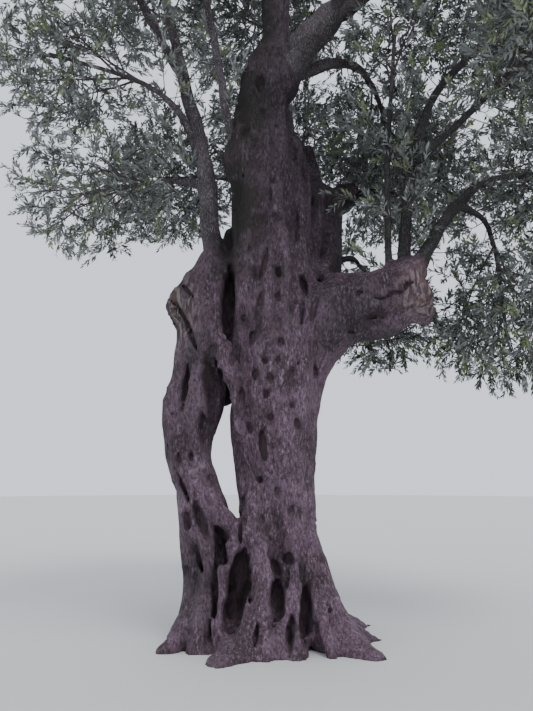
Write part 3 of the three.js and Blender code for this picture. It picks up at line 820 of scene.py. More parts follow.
# Hollows seen from the front, carved in this order: x and z of the middle, half width, half height,
# depth and lean in degrees
HOLLOWS = {
    "foot": (
        (-0.31, 0.62, 0.085, 0.2, 0.16, 8), (-0.36, 0.36, 0.075, 0.15, 0.22, 10),
        (-0.457, 0.83, 0.05, 0.085, 0.12, -15), (-0.5, 1.03, 0.022, 0.075, 0.07, -42),
        (-0.666, 1.153, 0.046, 0.165, 0.11, -18), (-0.8, 1.134, 0.034, 0.085, 0.08, -8),
        (-0.686, 0.8, 0.026, 0.15, 0.1, -18), (-0.516, 0.5, 0.028, 0.22, 0.16, 0),
        (-0.846, 1.46, 0.022, 0.16, 0.08, -27), (-0.293, 1.05, 0.02, 0.14, 0.1, 3),
        (-0.278, 1.32, 0.022, 0.035, 0.05, 0), (0.15, 0.8, 0.05, 0.052, 0.14, 0),
        (0.045, 0.69, 0.036, 0.1, 0.09, -20), (0.05, 0.45, 0.055, 0.14, 0.15, -8),
        (0.295, 0.3, 0.052, 0.2, 0.18, 4), (0.155, 0.15, 0.022, 0.1, 0.14, 0),
        (-0.14, 0.2, 0.018, 0.1, 0.1, 10),
    ),
    "low_front": (
        (-0.08, 1.86, 0.036, 0.15, 0.12, -3), (-0.11, 1.53, 0.03, 0.034, 0.07, 0),
        (-0.02, 0.85, 0.022, 0.05, 0.06, 0),
    ),
    "side_stem": (
        (-0.675, 2.03, 0.034, 0.15, 0.13, 0), (-0.77, 1.75, 0.02, 0.055, 0.06, 0),
        (-0.89, 1.73, 0.018, 0.045, 0.05, -20), (-0.845, 2.42, 0.03, 0.2, 0.15, 6),
        (-0.585, 2.42, 0.068, 0.235, 0.19, -10),
    ),
    "pits": (
        (-0.151, 2.52, 0.036, 0.05, 0.07, 0), (-0.016, 2.474, 0.034, 0.05, 0.07, 0),
        (-0.055, 2.33, 0.034, 0.042, 0.07, 0), (-0.064, 2.65, 0.03, 0.032, 0.05, 0),
        (0.061, 2.66, 0.026, 0.03, 0.05, 0), (-0.185, 2.88, 0.034, 0.09, 0.08, 12),
        (-0.12, 3.2, 0.03, 0.15, 0.07, 14), (-0.3, 2.27, 0.034, 0.15, 0.07, 5),
        (-0.5, 2.55, 0.03, 0.06, 0.08, 0), (-0.017, 2.11, 0.032, 0.036, 0.06, 0),
        (0.241, 2.05, 0.034, 0.05, 0.05, 0), (0.091, 2.835, 0.032, 0.036, 0.05, 0),
        (-0.385, 2.68, 0.03, 0.08, 0.07, 0), (0.2, 2.55, 0.028, 0.05, 0.05, 10),
        (-0.21, 2.02, 0.028, 0.05, 0.05, -6), (0.05, 1.42, 0.026, 0.04, 0.04, 0),
        (0.18, 1.24, 0.026, 0.05, 0.04, 10), (-0.1, 1.16, 0.026, 0.04, 0.04, 0),
        (0.07, 3.55, 0.03, 0.06, 0.05, -8), (0.06, 3.28, 0.03, 0.05, 0.05, 0),
    ),
    "shoulder": (
        (-0.95, 3.24, 0.016, 0.16, 0.06, -38), (-0.87, 3.12, 0.018, 0.22, 0.08, -28),
        (-0.86, 3.42, 0.016, 0.14, 0.06, -42), (-0.79, 2.92, 0.018, 0.18, 0.07, -24),
        (-0.99, 3.1, 0.014, 0.13, 0.05, -30),
    ),
    "sawn_limb": (
        (0.42, 3.2, 0.026, 0.17, 0.08, 12), (0.78, 2.98, 0.05, 0.018, 0.06, -14),
        (0.88, 3.36, 0.045, 0.018, 0.05, -20), (1.04, 3.13, 0.15, 0.026, 0.07, -8),
        (0.32, 3.46, 0.036, 0.1, 0.16, -12), (0.3, 3.17, 0.018, 0.14, 0.07, 4),
    ),
    "trunk": (
        (-0.43, 3.26, 0.066, 0.35, 0.36, 3), (-0.115, 5.66, 0.042, 0.08, 0.1, 0),
        (0.06, 4.13, 0.055, 0.045, 0.05, -10), (-0.005, 4.38, 0.016, 0.15, 0.05, -5),
        (-0.074, 3.64, 0.022, 0.18, 0.07, 12), (-0.13, 2.98, 0.02, 0.14, 0.06, 6),
        (0.25, 6.3, 0.03, 0.26, 0.14, -2),
    ),
}


# A crack along the sawn limb: x, z and half width
CRACK = (
    (1.0, 3.3, 0.008), (1.12, 3.31, 0.012), (1.2, 3.36, 0.018), (1.31, 3.38, 0.014), (1.34, 3.43, 0.02),
    (1.41, 3.47, 0.016),
)
CRACK_DEPTH = 0.05
CRACK_SEARCH = 0.1

# Pits by rule: their number and sizes, how many are on the trunk, where they gather, how far they sink in,
# and the first and last distance and the step with which the wood is looked for from outside
PITS = 230
PIT_RADII = (0.014, 0.036)
PIT_STRETCH = (0.9, 2.6)
PIT_HEIGHTS = (0.06, 0.94)
PIT_GATHER = 1.3
PIT_SINK = (-0.75, 0.35)
PIT_TRUNK_SHARE = 0.72
PIT_PROBES = (0.75, 0, -0.012)
PIT_SEARCH = 0.04
PIT_SEED = 11

# The walls and lips of all that is carved, and the waves that make them uneven: three ways, shift and height
CARVE_ROUNDING = 0.8
LIP_HEIGHT = 0.34
LIP_PLACE = 1.45
LIP_WIDTH = 0.4
WOBBLES = (((61, 17, 23, 0), 0.1), ((-38, 29, 47, 2), 0.1), ((90, 40, -52, 1), 0.07))

# The bark's relief: how long, how high and from which seed
LUMP_LENGTHS = (0.34, 0.34, 0.62)
LUMP_HEIGHT = 0.028
RIDGE_LENGTHS = (0.085, 0.085, 0.5)
KNOB_LENGTHS = (0.11, 0.11, 0.15)
KNOB_HEIGHT = 0.011
RIDGE_HEIGHT = 0.01
GRAIN_LENGTHS = (0.045, 0.045, 0.11)
GRAIN_HEIGHT = 0.006
LUMP_SEED = 1
RIDGE_SEED = 5
LEVEL_RIDGE_SEED = 9
GRAIN_SEED = 13
KNOB_SEED = 17
LEVEL_RIDGE_SHARE = 1.4
BAND = 0.1

# Where the grain runs along the sawn limb: a start and a width in x, at the bottom and at the top, and
# how far back it reaches
LEVEL_FROM = (0.3, 0.35)
LEVEL_BOTTOM = (2.5, 0.3)
LEVEL_TOP = (4.1, 0.2)
LEVEL_BACK = 0.45

# Masks on the surface: the depths over which wood counts as hollow, how far out folds are felt for and with
# what weight, for the painted shade in them, and how fast a place's strength rises from its edge; and the
# share of a cell that snaps down
HOLLOW_DEPTHS = (0.02, 0.07)
CREVICE_PROBE = 0.02
CREVICE_STEPS = ((0.03, 0.5), (0.07, 0.6), (0.14, 0.6))
PLACE_GAIN = 1.4
GROUND_SNAP = 0.6


def section_at(sections, height):
    """The middle and radius of a corded column at a height, read between its sections."""
    heights = [section[0] for section in sections]
    return [np.interp(height, heights, [section[k] for section in sections]) for k in (1, 2, 3)]


def cord_rows(sections, cords, turn, reach, index):
    """One cord: it winds round the column and its foot runs out over the ground."""
    top = sections[-1][0]
    foot_reach = reach * (1 + REACH_SPREAD * math.sin(index * REACH_SHIFT))
    rows = []
    for height, x, y, radius in sections:
        bearing = index / cords * 2 * math.pi + turn * height / top
        offset = radius * CORD_OFFSET + foot_reach * math.exp(-height / FLARE_HEIGHT)
        swell = 1 + CORD_SWELL * math.sin(index * CORD_SWELL_SHIFT + height / CORD_SWELL_LENGTH)
        at = (x + math.cos(bearing) * offset, y + math.sin(bearing) * offset, height)
        rows.append((*at, radius * CORD_SHARE * swell))
    return smooth_row(rows, COLUMN_STEPS)


def column_strands(sections, cords, turn, reach):
    """A column's core and its cords, which wander a little."""
    core = [(x, y, height, radius * CORE_SHARE) for height, x, y, radius in sections]
    strands = [smooth_row(core, COLUMN_STEPS)]
    for index in range(cords):
        rows = cord_rows(sections, cords, turn, reach, index)
        at = rows[:, :3].astype(np.float32)
        shift = np.column_stack([lattice_noise(at, WANDER_LENGTHS, seed + index) for seed in WANDER_SEEDS])
        rows[:, :2] += shift * WANDER
        strands.append(rows)
    return strands


def limb_rows(name, share=1.0):
    """A bough's centres and radii, up to a share of its length."""
    centres, radii = bough_rings(name, LIMB_STEPS)
    keep = max(2, int(round(LIMB_STEPS * share)) + 1)
    return np.column_stack((centres, radii))[:keep]


def collar_rows(name):
    """The swelling at a bough's foot, which blends it into the wood that it leaves."""
    rows = limb_rows(name, COLLAR_SHARE)
    rows[:, 3] *= np.linspace(*COLLAR_SWELLS, len(rows))
    return rows


def smooth_max(a, b, rounding):
    """The larger of two fields, rounded where they meet."""
    gap = np.maximum(rounding - np.abs(a - b), 0)
    return np.maximum(a, b) + gap * gap / (4 * rounding)


def cut_end(field_block, block, rows):
    """Breaks a strand off just before its last ring, with a ragged face and a rounded rim."""
    x, y, z = block_points(block)
    end, way = rows[-1, :3], unit(rows[-1, :3] - rows[-2, :3])
    end = end - way * STUB_CUT_BACK
    beyond = (x - end[0]) * way[0] + (y - end[1]) * way[1] + (z - end[2]) * way[2]
    points = np.stack(np.broadcast_arrays(x, y, z), axis=-1).reshape(-1, 3).astype(np.float32)
    ragged = layered_noise(points, STUB_RAGGED_LENGTHS, 2, STUB_RAGGED_SEED) * STUB_RAGGED_HEIGHT
    return smooth_max(field_block, (beyond + ragged.reshape(beyond.shape)).astype(np.float32), STUB_ROUNDING)


def add_stub(total):
    """Adds the sawn limb with its ragged end."""
    rows = smooth_row(STUB_SECTIONS, COLUMN_STEPS)
    alone = np.zeros(total.shape, np.float32)
    add_strand(alone, rows)
    block = block_round(rows, rows[:, 3].max() + SEARCH)
    field = -BLEND * np.log(alone[block] + TINY)
    total[block] += np.exp(-cut_end(field, block, rows) / BLEND)


def whole_wood():
    """The field of the wood before anything is carved from it: negative inside."""
    total = np.zeros([len(axis) for axis in GRID], np.float32)
    strands = column_strands(TRUNK_SECTIONS, *TRUNK_CORDS)
    strands += column_strands(STEM_SECTIONS, *STEM_CORDS)
    strands += [smooth_row(rows, COLUMN_STEPS) for rows in STRANDS.values()]
    strands += [limb_rows("back_stem", BACK_STEM_SHARE), limb_rows("fork_left_bough")]
    strands += [collar_rows(name) for name in COLLARED]
    for rows in strands:
        add_strand(total, rows)
    add_stub(total)
    return -BLEND * np.log(total + TINY)


def front_of(field, x, z):
    """Where the wood's front lies at x and z."""
    i = int(round((x - GRID_LOW[0]) / GRID_CELL[0]))
    k = int(round((z - GRID_LOW[2]) / GRID_CELL[2]))
    column = field[i, :, k] < 0
    return GRID[1][int(np.argmax(column))] if column.any() else None


def carve(field, block, out, size):
    """Takes a hole away and raises a lip round it; out is 1 on its wall, and size its half width."""
    x, y, z = block_points(block)
    for (along_x, along_y, along_z, shift), height in WOBBLES:
        out = out + height * np.sin(along_x * x + along_y * y + along_z * z + shift)
    lip = LIP_HEIGHT * size * np.exp(-(((out - LIP_PLACE) / LIP_WIDTH) ** 2))
    hole = (1 - out) * size
    raised = field[block] - lip.astype(np.float32)
    field[block] = smooth_max(raised, hole.astype(np.float32), CARVE_ROUNDING * size)


def carve_hollow(field, sizes):
    """A hollow that runs in from the front."""
    x0, z0, half_width, half_height, depth, lean = sizes
    front = front_of(field, x0, z0)
    if front is None:
        return
    back = front + depth
    reach = 2 * max(half_width, half_height)
    block = block_of((x0 - reach, GRID_LOW[1], z0 - reach), (x0 + reach, back + reach, z0 + reach))
    x, y, z = block_points(block)
    angle = math.radians(lean)
    across = (x - x0) * math.cos(angle) - (z - z0) * math.sin(angle)
    along = (x - x0) * math.sin(angle) + (z - z0) * math.cos(angle)
    inner = max(depth * 0.5, half_width)
    past = np.maximum(y - (back - inner), 0) / inner
    out = np.sqrt((across / half_width) ** 2 + (along / half_height) ** 2 + past**2)
    carve(field, block, out, min(half_width, half_height))


def carve_crack(field):
    """A crack that runs in from the front of the sawn limb."""
    rows = [(x, front_of(field, x, z), z, half_width) for x, z, half_width in CRACK]
    rows = smooth_row(rows, COLUMN_STEPS)
    for a, b in zip(rows, rows[1:]):
        block = block_round((a, b), CRACK_SEARCH)
        x, y, z = block_points(block)
        way = b[[0, 2]] - a[[0, 2]]
        share = np.clip(((x - a[0]) * way[0] + (z - a[2]) * way[1]) / way.dot(way), 0, 1)
        across = np.sqrt((x - a[0] - share * way[0]) ** 2 + (z - a[2] - share * way[1]) ** 2)
        deep = np.maximum(y - (a[1] + CRACK_DEPTH), 0)
        width = mix(a[3], b[3], share)
        carve(field, block, np.sqrt(across**2 + deep**2) / width, a[3])


def carve_pits(field):
    """Small hollows all round the trunk and the side stem, found by looking in towards their middle."""
    random = np.random.default_rng(PIT_SEED)
    for _ in range(PITS):
        sections = TRUNK_SECTIONS if random.random() < PIT_TRUNK_SHARE else STEM_SECTIONS
        height = sections[-1][0] * random.uniform(*PIT_HEIGHTS) ** PIT_GATHER
        bearing = random.uniform(0, 2 * math.pi)
        radius = random.uniform(*PIT_RADII)
        stretch = random.uniform(*PIT_STRETCH)
        x, y, _ = section_at(sections, height)
        way = np.array((math.cos(bearing), math.sin(bearing), 0))
        probes = np.array((x, y, height)) + way * np.arange(*PIT_PROBES)[:, None]
        index = np.round((probes - GRID_LOW) / GRID_CELL).astype(int)
        solid = field[tuple(np.clip(index, 0, np.array(field.shape) - 1).T)] < 0
        if not solid.any() or solid[0]:
            continue
        at = probes[np.argmax(solid)] - way * radius * random.uniform(*PIT_SINK)
        reach = radius * stretch + PIT_SEARCH
        block = block_of(at - reach, at + reach)
        px, py, pz = block_points(block)
        level = (px - at[0]) ** 2 + (py - at[1]) ** 2
        out = np.sqrt(level + ((pz - at[2]) / stretch) ** 2) / radius
        carve(field, block, out, radius)


def rising(values, start, width):
    """0 up to a start and 1 from a width beyond it."""
    return np.clip((values - start) / width, 0, 1)


def level_share(points):
    """1 on the sawn limb, whose grain runs along it, and 0 on the upright wood."""
    top, width = LEVEL_TOP
    height = rising(points[:, 2], *LEVEL_BOTTOM) * rising(-points[:, 2], -top, width)
    return rising(points[:, 0], *LEVEL_FROM) * height * (points[:, 1] < LEVEL_BACK)


def roughen(field):
    """Lays lumps, ridges and grain over the wood's surface."""
    near = np.abs(field) < BAND
    index = np.argwhere(near)
    points = (GRID_LOW + index * GRID_CELL).astype(np.float32)
    across = level_share(points)
    lumps = layered_noise(points, LUMP_LENGTHS, 2, LUMP_SEED) * LUMP_HEIGHT
    lumps += lattice_noise(points, KNOB_LENGTHS, KNOB_SEED) * KNOB_HEIGHT
    upright = 1 - 2 * np.abs(layered_noise(points, RIDGE_LENGTHS, 2, RIDGE_SEED))
    level = 1 - 2 * np.abs(layered_noise(points, np.roll(RIDGE_LENGTHS, 1), 2, LEVEL_RIDGE_SEED))
    ridges = (upright * (1 - across) + level * across * LEVEL_RIDGE_SHARE) * RIDGE_HEIGHT
    grain = lattice_noise(points, GRAIN_LENGTHS, GRAIN_SEED) * GRAIN_HEIGHT
    field[near] += lumps - ridges + grain


def sampled(field, points):
    """Values of a field at points, read between the grid's own."""
    place = (points - GRID_LOW) / GRID_CELL
    low = np.clip(np.floor(place).astype(int), 0, np.array(field.shape) - 2)
    share = place - low
    total = np.zeros(len(points))
    for corner in np.ndindex(2, 2, 2):
        weight = np.prod(np.where(corner, share, 1 - share), axis=1)
        total += field[tuple((low + corner).T)] * weight
    return total


def near_place(points, place, radii, strength=1.0):
    """The strength at the middle of a stretched ball, falling to 0 at its surface."""
    out = np.linalg.norm((points - np.array(place)) / np.array(radii), axis=1)
    return np.clip(PLACE_GAIN * (1 - out), 0, 1) * strength


def outward_of(field, points, step):
    """Directions out of the wood at points on its surface."""
    ways = [sampled(field, points + way) - sampled(field, points - way) for way in np.eye(3) * step]
    ways = np.stack(ways, axis=1)
    return ways / np.maximum(np.linalg.norm(ways, axis=1, keepdims=True), TINY)


def crevice_shade(field, points):
    """How deep in folds and hollows points lie, for painted shade: 0 in the open and 1 where wood is close
    all round.
    """
    outward = outward_of(field, points, CREVICE_PROBE)
    shade = np.zeros(len(points))
    for step, weight in CREVICE_STEPS:
        away = sampled(field, points + outward * step)
        shade += weight * np.clip(1 - away / step, 0, 1)
    return np.clip(shade, 0, 1)


# Where the wood lies bare, where moss grows and where shade is painted on the bark (under the crown, on
# shaded flanks and beneath limbs): the middle, the radii and, where it isn't whole, the strength
BARE_PLACES = (
    ((-0.92, -0.18, 3.22), (0.28, 0.4, 0.58), 0.8), ((1.52, -0.2, 3.42), (0.36, 0.45, 0.4)),
)
MOSS_PLACES = (
    ((-0.36, -0.15, 4.3), (0.5, 0.6, 0.95)), ((-0.36, -0.15, 5.3), (0.44, 0.5, 0.95)),
    ((-0.12, -0.1, 6.5), (0.24, 0.4, 0.9)), ((-0.31, -0.25, 0.55), (0.17, 0.35, 0.35)),
)
PAINTED_SHADE_PLACES = (
    ((0.62, 0.55, 4.3), (0.6, 0.6, 1.9)), ((0.36, 0.25, 4.9), (0.12, 0.3, 0.8)),
    ((-0.05, 0.0, 6.2), (1.2, 1.2, 3.4), 0.85), ((-0.4, -0.1, 4.3), (0.42, 0.6, 1.3)),
    ((0.8, -0.2, 3.12), (0.62, 0.7, 0.55), 0.85), ((-0.95, 0.1, 2.5), (0.26, 0.5, 1.4), 0.6),
    ((-0.85, -0.1, 2.2), (0.5, 0.7, 1.2), 0.4), ((-0.85, -0.1, 3.3), (0.5, 0.5, 0.8), 0.65),
    ((-0.74, -0.15, 2.78), (0.3, 0.5, 0.45), 0.8), ((-0.72, -0.2, 0.6), (0.32, 0.6, 0.75), 0.8),
    ((0.0, -0.3, 3.2), (0.45, 0.5, 0.75), 0.45), ((-0.63, -0.2, 2.6), (0.15, 0.5, 0.45)),
    ((1.4, 0.0, 3.95), (0.3, 0.4, 0.35)), ((1.05, -0.1, 2.92), (0.5, 0.5, 0.22)),
)


def strongest(points, places):
    """The largest strength that several places have at points."""
    return np.max([near_place(points, *place) for place in places], axis=0)


def wood_surface():
    """The surface of the wood, with masks of hollows, folds, bare wood and moss, and of where shade is
    painted.
    """
    field = whole_wood()
    roughen(field)
    uncut = field.copy()
    for group in HOLLOWS.values():
        for sizes in group:
            carve_hollow(field, sizes)
    carve_crack(field)
    carve_pits(field)
    ground = -GRID[2][None, None, :]
    field = np.maximum(field, np.broadcast_to(ground, field.shape))
    for axis in range(3):
        edge = [slice(None)] * 3
        for side in (0, -1):
            edge[axis] = side
            field[tuple(edge)] = np.maximum(field[tuple(edge)], GRID_CELL[axis])
    vertices, quads = surface_net(field)
    vertices[vertices[:, 2] < GRID_CELL[2] * GROUND_SNAP, 2] = 0.0
    # The fold and dark masks place painted shade, the hollow mask painted light on hollow walls
    masks = {
        "hollow": rising(-sampled(uncut, vertices), *HOLLOW_DEPTHS),
        "fold": crevice_shade(field, vertices),
        "bare": strongest(vertices, BARE_PLACES),
        "moss": strongest(vertices, MOSS_PLACES),
        "dark": strongest(vertices, PAINTED_SHADE_PLACES),
    }
    return vertices, quads, masks


# Nodes


def feed(tree, socket, value):
    """Links an output to an input, or sets the input to a number or a colour."""
    if isinstance(value, bpy.types.NodeSocket):
        tree.links.new(value, socket)
    elif socket.type == "RGBA":
        socket.default_value = (*value, 1)
    else:
        socket.default_value = value


def node_in(tree, kind, settings=None, **values):
    """A node with its settings and what its inputs are fed with."""
    node = tree.nodes.new(kind)
    for key, value in (settings or {}).items():
        setattr(node, key, value)
    for key, value in values.items():
        feed(tree, node.inputs[key.replace("_", " ")], value)
    return node


def maths(tree, operation, *terms):
    """The result of an operation on sockets or numbers."""
    node = node_in(tree, "ShaderNodeMath", {"operation": operation})
    for socket, value in zip(node.inputs, terms):
        feed(tree, socket, value)
    return node.outputs[0]


def product(tree, a, b):
    """Two sockets or numbers multiplied."""
    return maths(tree, "MULTIPLY", a, b)


def sum_of(tree, a, b):
    """Two sockets or numbers added."""
    return maths(tree, "ADD", a, b)


def rest_of(tree, share):
    """What a share leaves of 1."""
    return maths(tree, "SUBTRACT", 1.0, share)


# The crown: finer twigs, leafy shoots and leaves

# Stems, twigs and fine twigs: rings and sides of their tubes, radii, and how they fill a mass
STEM_RINGS = 10
STEM_SIDES = 8
TWIG_RINGS = 6
TWIG_SIDES = 5
SPRAY_TWIG_SHARE = 0.8
SPRAY_TWIG_RADII = (0.009, 0.004)
FINE_TWIG_RINGS = 4
FINE_TWIG_SIDES = 3
FINE_TWIG_RADII = (0.0065, 0.003)
FINE_TWIG_REACH = 0.93
FINE_TWIG_LEAST = 0.1
FINE_TWIG_BEND = 0.4
FINE_TWIG_MARGIN = 0.04
FINE_TWIG_SPACE_MARGIN = 0.02
FORWARD_PULL = 0.5
BEND_PLACE = 0.55
LAST_PLACE = 1.001
TWIG_BOW = 0.05
SPRAY_BOW = 0.03
CROWN_SEED = 500
OUTLINE_LENGTHS = (0.55, 0.55, 0.55)
OUTLINE_DEPTH = 0.12
OUTLINE_MOST = 1.2
OUTLINE_SEED = 71

# Leafy shoots: how they stand on twigs, their lengths, radii and tubes, and how far past the solids they go
SHOOT_APART = 0.075
SHOOT_FIRST = 0.25
SHOOT_SPLAY = 0.95
SHOOT_SPLAY_SHARES = (0.7, 1.3)
SHOOT_STRAY = 0.12
SHOOT_LENGTHS = (0.15, 0.29)
SHOOT_LIFT = 0.12
SHOOT_DROOP = 0.3
SHOOT_RADII = (0.0028, 0.0012)
SHOOT_RINGS = 3
SHOOT_SIDES = 3
SHOOT_PAST = 0.05

# Leaves: pairs on a shoot, how they splay from its foot to its tip, their sizes, and how their upper sides
# turn up, onward and at random
LEAF_PAIRS = 8
LEAF_FIRST = 0.12
LEAF_SPLAY = (0.95, 0.4)
LEAF_SPLAY_SHARES = (0.7, 1.2)
LEAF_STRAY = 0.14
LEAF_SIZES = (0.75, 1.15)
LEAF_TIP_SIZE = 0.7
LEAF_LIFT = (0.75, 0.3, 0.4)

# A leaf's corners, as shares of its width, length and fold, its faces, and which of them are below
LEAF_CORNERS = ((0, 0, 0), (-0.5, 0.42, -1), (0.5, 0.5, -1), (0, 1, 0))
LEAF_FACES = ((0, 3, 1), (0, 2, 3), (0, 1, 2), (1, 3, 2))
LEAF_BELOW = (False, False, True, True)

# A comparing node's sockets for whole numbers
WHOLE_NUMBER_INPUTS = (2, 3)

# The leaves' colours, how they are shared out over each part of the crown, and how dense its twigs are
TINTS = ("deep", "mid", "grey", "young")
TINT_SHARES = {
    "left": (0.16, 0.32, 0.42, 0.1),
    "top": (0.4, 0.34, 0.18, 0.08),
    "right": (0.46, 0.32, 0.1, 0.12),
    "inner": (0.44, 0.34, 0.12, 0.1),
    "back": (0.34, 0.36, 0.22, 0.08),
}
DENSITY_SHARES = {"left": 0.68, "top": 1.2, "right": 1.5, "inner": 1.3, "back": 1.1}

# Leafy twigs straight from the limbs: the first and last share of a limb's length, and their number
LIMB_TWIGS = {
    "left": {
        "left_bough": (0.4, 0.95, 9), "left_side_bough": (0.2, 0.9, 5), "left_low_bough": (0.25, 0.9, 5),
        "left_front_bough": (0.2, 0.9, 5), "inner_left_bough": (0.25, 0.9, 7),
    },
    "top": {
        "fork_right_bough": (0.45, 0.95, 6), "front_right_bough": (0.3, 0.95, 5),
        "fork_side_bough": (0.22, 0.95, 14),
    },
    "right": {
        "upright_shoot": (0.06, 0.95, 14), "rising_shoot": (0.1, 0.95, 14),
        "outer_shoot": (0.15, 0.95, 10), "drooping_bough": (0.3, 0.9, 5),
        "right_front_bough": (0.2, 0.9, 6),
    },
    "inner": {
        "right_under_bough": (0.35, 0.95, 5), "back_right_bough": (0.35, 0.95, 8),
    },
    "back": {
        "back_bough": (0.35, 0.95, 6), "back_left_bough": (0.4, 0.95, 4), "back_low_bough": (0.4, 0.95, 4),
    },
}
LIMB_TWIG_SEED = 77
LIMB_TWIG_LENGTHS = (0.24, 0.55)
LIMB_TWIG_LEANS = (0.1, 0.8)
LIMB_TWIG_LIFT = 0.35


def on_curves(start, bend, end, share):
    """Points at shares of curves of three control points, shaped curves by shares by 3."""
    rest = 1 - share
    return start[:, None] * rest**2 + bend[:, None] * 2 * rest * share + end[:, None] * share**2


def bent(start, bend, end, rings):
    """Centres spread along curves of three control points, shaped curves by rings by 3."""
    return on_curves(start, bend, end, np.linspace(0, 1, rings)[None, :, None])


def lengths_of(centres):
    """How long rows of centres are."""
    return np.linalg.norm(np.diff(centres, axis=-2), axis=-1).sum(-1)


def random_ways(random, count):
    """Directions spread evenly at random."""
    return units(random.normal(size=(count, 3)))


def fine_twigs(name, nodes, node_ways, density, random):
    """Twigs that fill a mass: each reaches for a point of the space from the nearest wood behind it."""
    space = SPACES[name]
    count = int(density * 4 / 3 * math.pi * np.prod(space["radii"]))
    ways = random_ways(random, count)
    outline = layered_noise((space["centre"] + ways).astype(np.float32), OUTLINE_LENGTHS, 2, OUTLINE_SEED)
    reach = FINE_TWIG_REACH * (1 - OUTLINE_DEPTH * np.clip(0.5 + outline, 0, OUTLINE_MOST))
    out = random.random(count) ** (1 / 3) * reach
    order = np.argsort(out)
    targets = (space["centre"] + ways * space["radii"] * out[:, None])[order]
    targets = targets[is_free(name, targets, FINE_TWIG_MARGIN, FINE_TWIG_SPACE_MARGIN)]
    starts, bends, ends = [], [], []
    for target in targets:
        offset = target - nodes
        distance = np.linalg.norm(offset, axis=1)
        forward = (offset * node_ways).sum(1) / np.maximum(distance, TINY)
        best = int(np.argmin(distance * (1 + FORWARD_PULL * (1 - forward))))
        if distance[best] < FINE_TWIG_LEAST:
            continue
        bend = nodes[best] + node_ways[best] * distance[best] * FINE_TWIG_BEND
        centres = bent(nodes[best][None], bend[None], target[None], FINE_TWIG_RINGS)[0]
        if not is_free(name, centres[1:], 0.0, 0.0).all():
            continue
        starts.append(nodes[best])
        bends.append(bend)
        ends.append(target)
        nodes = np.vstack((nodes, centres[1:]))
        new_ways = np.diff(centres, axis=0) / lengths_of(centres) * (FINE_TWIG_RINGS - 1)
        node_ways = np.vstack((node_ways, new_ways))
    return bent(np.array(starts), np.array(bends), np.array(ends), FINE_TWIG_RINGS)


def point_and_way(centres, share):
    """The point at a share of a row of centres, and the direction of the row there."""
    place = min(share * (len(centres) - 1), len(centres) - LAST_PLACE)
    step = int(place)
    way = unit(centres[step + 1] - centres[step])
    return mix(centres[step], centres[step + 1], place - step), way


def shoots_on(name, twigs, random):
    """Leafy shoots along and at the tips of twigs, as curves of three control points.

    Those of a named mass keep to its space; a name of None is for twigs between the masses.
    """
    roots, ways = [], []
    for centres in twigs:
        count = max(2, int(lengths_of(centres) / SHOOT_APART))
        spin = random.uniform(0, 2 * math.pi)
        for i in range(count):
            root, along = point_and_way(centres, mix(SHOOT_FIRST, 1, (i + 1) / count))
            splay = 0.0 if i == count - 1 else SHOOT_SPLAY * random.uniform(*SHOOT_SPLAY_SHARES)
            roots.append(root)
            ways.append(unit(along + side_of(along, spin + i * GOLDEN_ANGLE) * splay))
    roots, ways = np.array(roots), np.array(ways)
    ways[:, 2] += SHOOT_LIFT
    ways = units(ways + random.normal(scale=SHOOT_STRAY, size=ways.shape))
    length = random.uniform(*SHOOT_LENGTHS, len(roots))[:, None]
    bends = roots + ways * length * BEND_PLACE
    tips = roots + ways * length
    tips[:, 2] -= SHOOT_DROOP * length[:, 0] * random.random(len(roots))
    free = np.ones(len(roots), bool)
    if name:
        free &= is_free(name, bends, LIMB_MARGIN, 0.0) & is_free(name, tips, LIMB_MARGIN, 0.0)
    low, high = [np.array(corner) for corner in CAD_BOX]
    free &= ((tips > low - SHOOT_PAST) & (tips < high + SHOOT_PAST)).all(axis=1)
    return roots[free], bends[free], tips[free]


def leaves_on(roots, bends, tips, tint_shares, random):
    """Leaves in opposite pairs along shoots: roots, turns, sizes and tints of all of them."""
    shoots = len(roots)
    share = np.linspace(LEAF_FIRST, 1, LEAF_PAIRS)
    share = np.broadcast_to(share[None, :, None], (shoots, LEAF_PAIRS, 1))
    at = on_curves(roots, bends, tips, share)
    along = units((bends - roots)[:, None] * (1 - share) + (tips - bends)[:, None] * share)
    level = np.where(np.abs(along[..., 2:]) > UPRIGHT, (1.0, 0, 0), (0, 0, 1.0))
    first = units(np.cross(level, along))
    second = np.cross(along, first)
    turn = random.uniform(0, 2 * math.pi, (shoots, 1, 1)) + np.arange(LEAF_PAIRS)[None, :, None] * math.pi / 2
    side = first * np.cos(turn) + second * np.sin(turn)
    splay = mix(*LEAF_SPLAY, share) * random.uniform(*LEAF_SPLAY_SHARES, share.shape)
    ways = along[:, :, None] + np.stack((side, -side), axis=2) * splay[:, :, None]
    ways = units(ways + random.normal(scale=LEAF_STRAY, size=ways.shape))
    up, onward, stray = LEAF_LIFT
    normals = along[:, :, None] * onward + random.normal(scale=stray, size=ways.shape)
    normals[..., 2] += up
    normals = units(normals - ways * (normals * ways).sum(-1, keepdims=True))
    across = np.cross(ways, normals)
    roll = np.arctan2(ways[..., 2], normals[..., 2])
    pitch = np.arcsin(np.clip(-across[..., 2], -1, 1))
    bearing = np.arctan2(across[..., 1], across[..., 0])
    size = random.uniform(*LEAF_SIZES, ways.shape[:-1]) * mix(1, LEAF_TIP_SIZE, share**3)
    tint = random.choice(len(TINTS), shoots, p=tint_shares)
    tint = np.broadcast_to(tint[:, None, None], size.shape)
    places = np.broadcast_to(at[:, :, None], ways.shape)
    turns = np.stack((roll, pitch, bearing), axis=-1)
    return places.reshape(-1, 3), turns.reshape(-1, 3), size.ravel(), tint.ravel()


def taper(base, tip, centres):
    """Radii that fall evenly along rows of centres."""
    return np.broadcast_to(np.linspace(base, tip, centres.shape[1]), centres.shape[:2])


def leafy(wood, shoots, tint_shares, random):
    """What the pieces of a part are made of: rows of wood with their radii and sides, shoots and leaves."""
    return {"wood": wood, "shoots": shoots, "leaves": leaves_on(*shoots, tint_shares, random)}


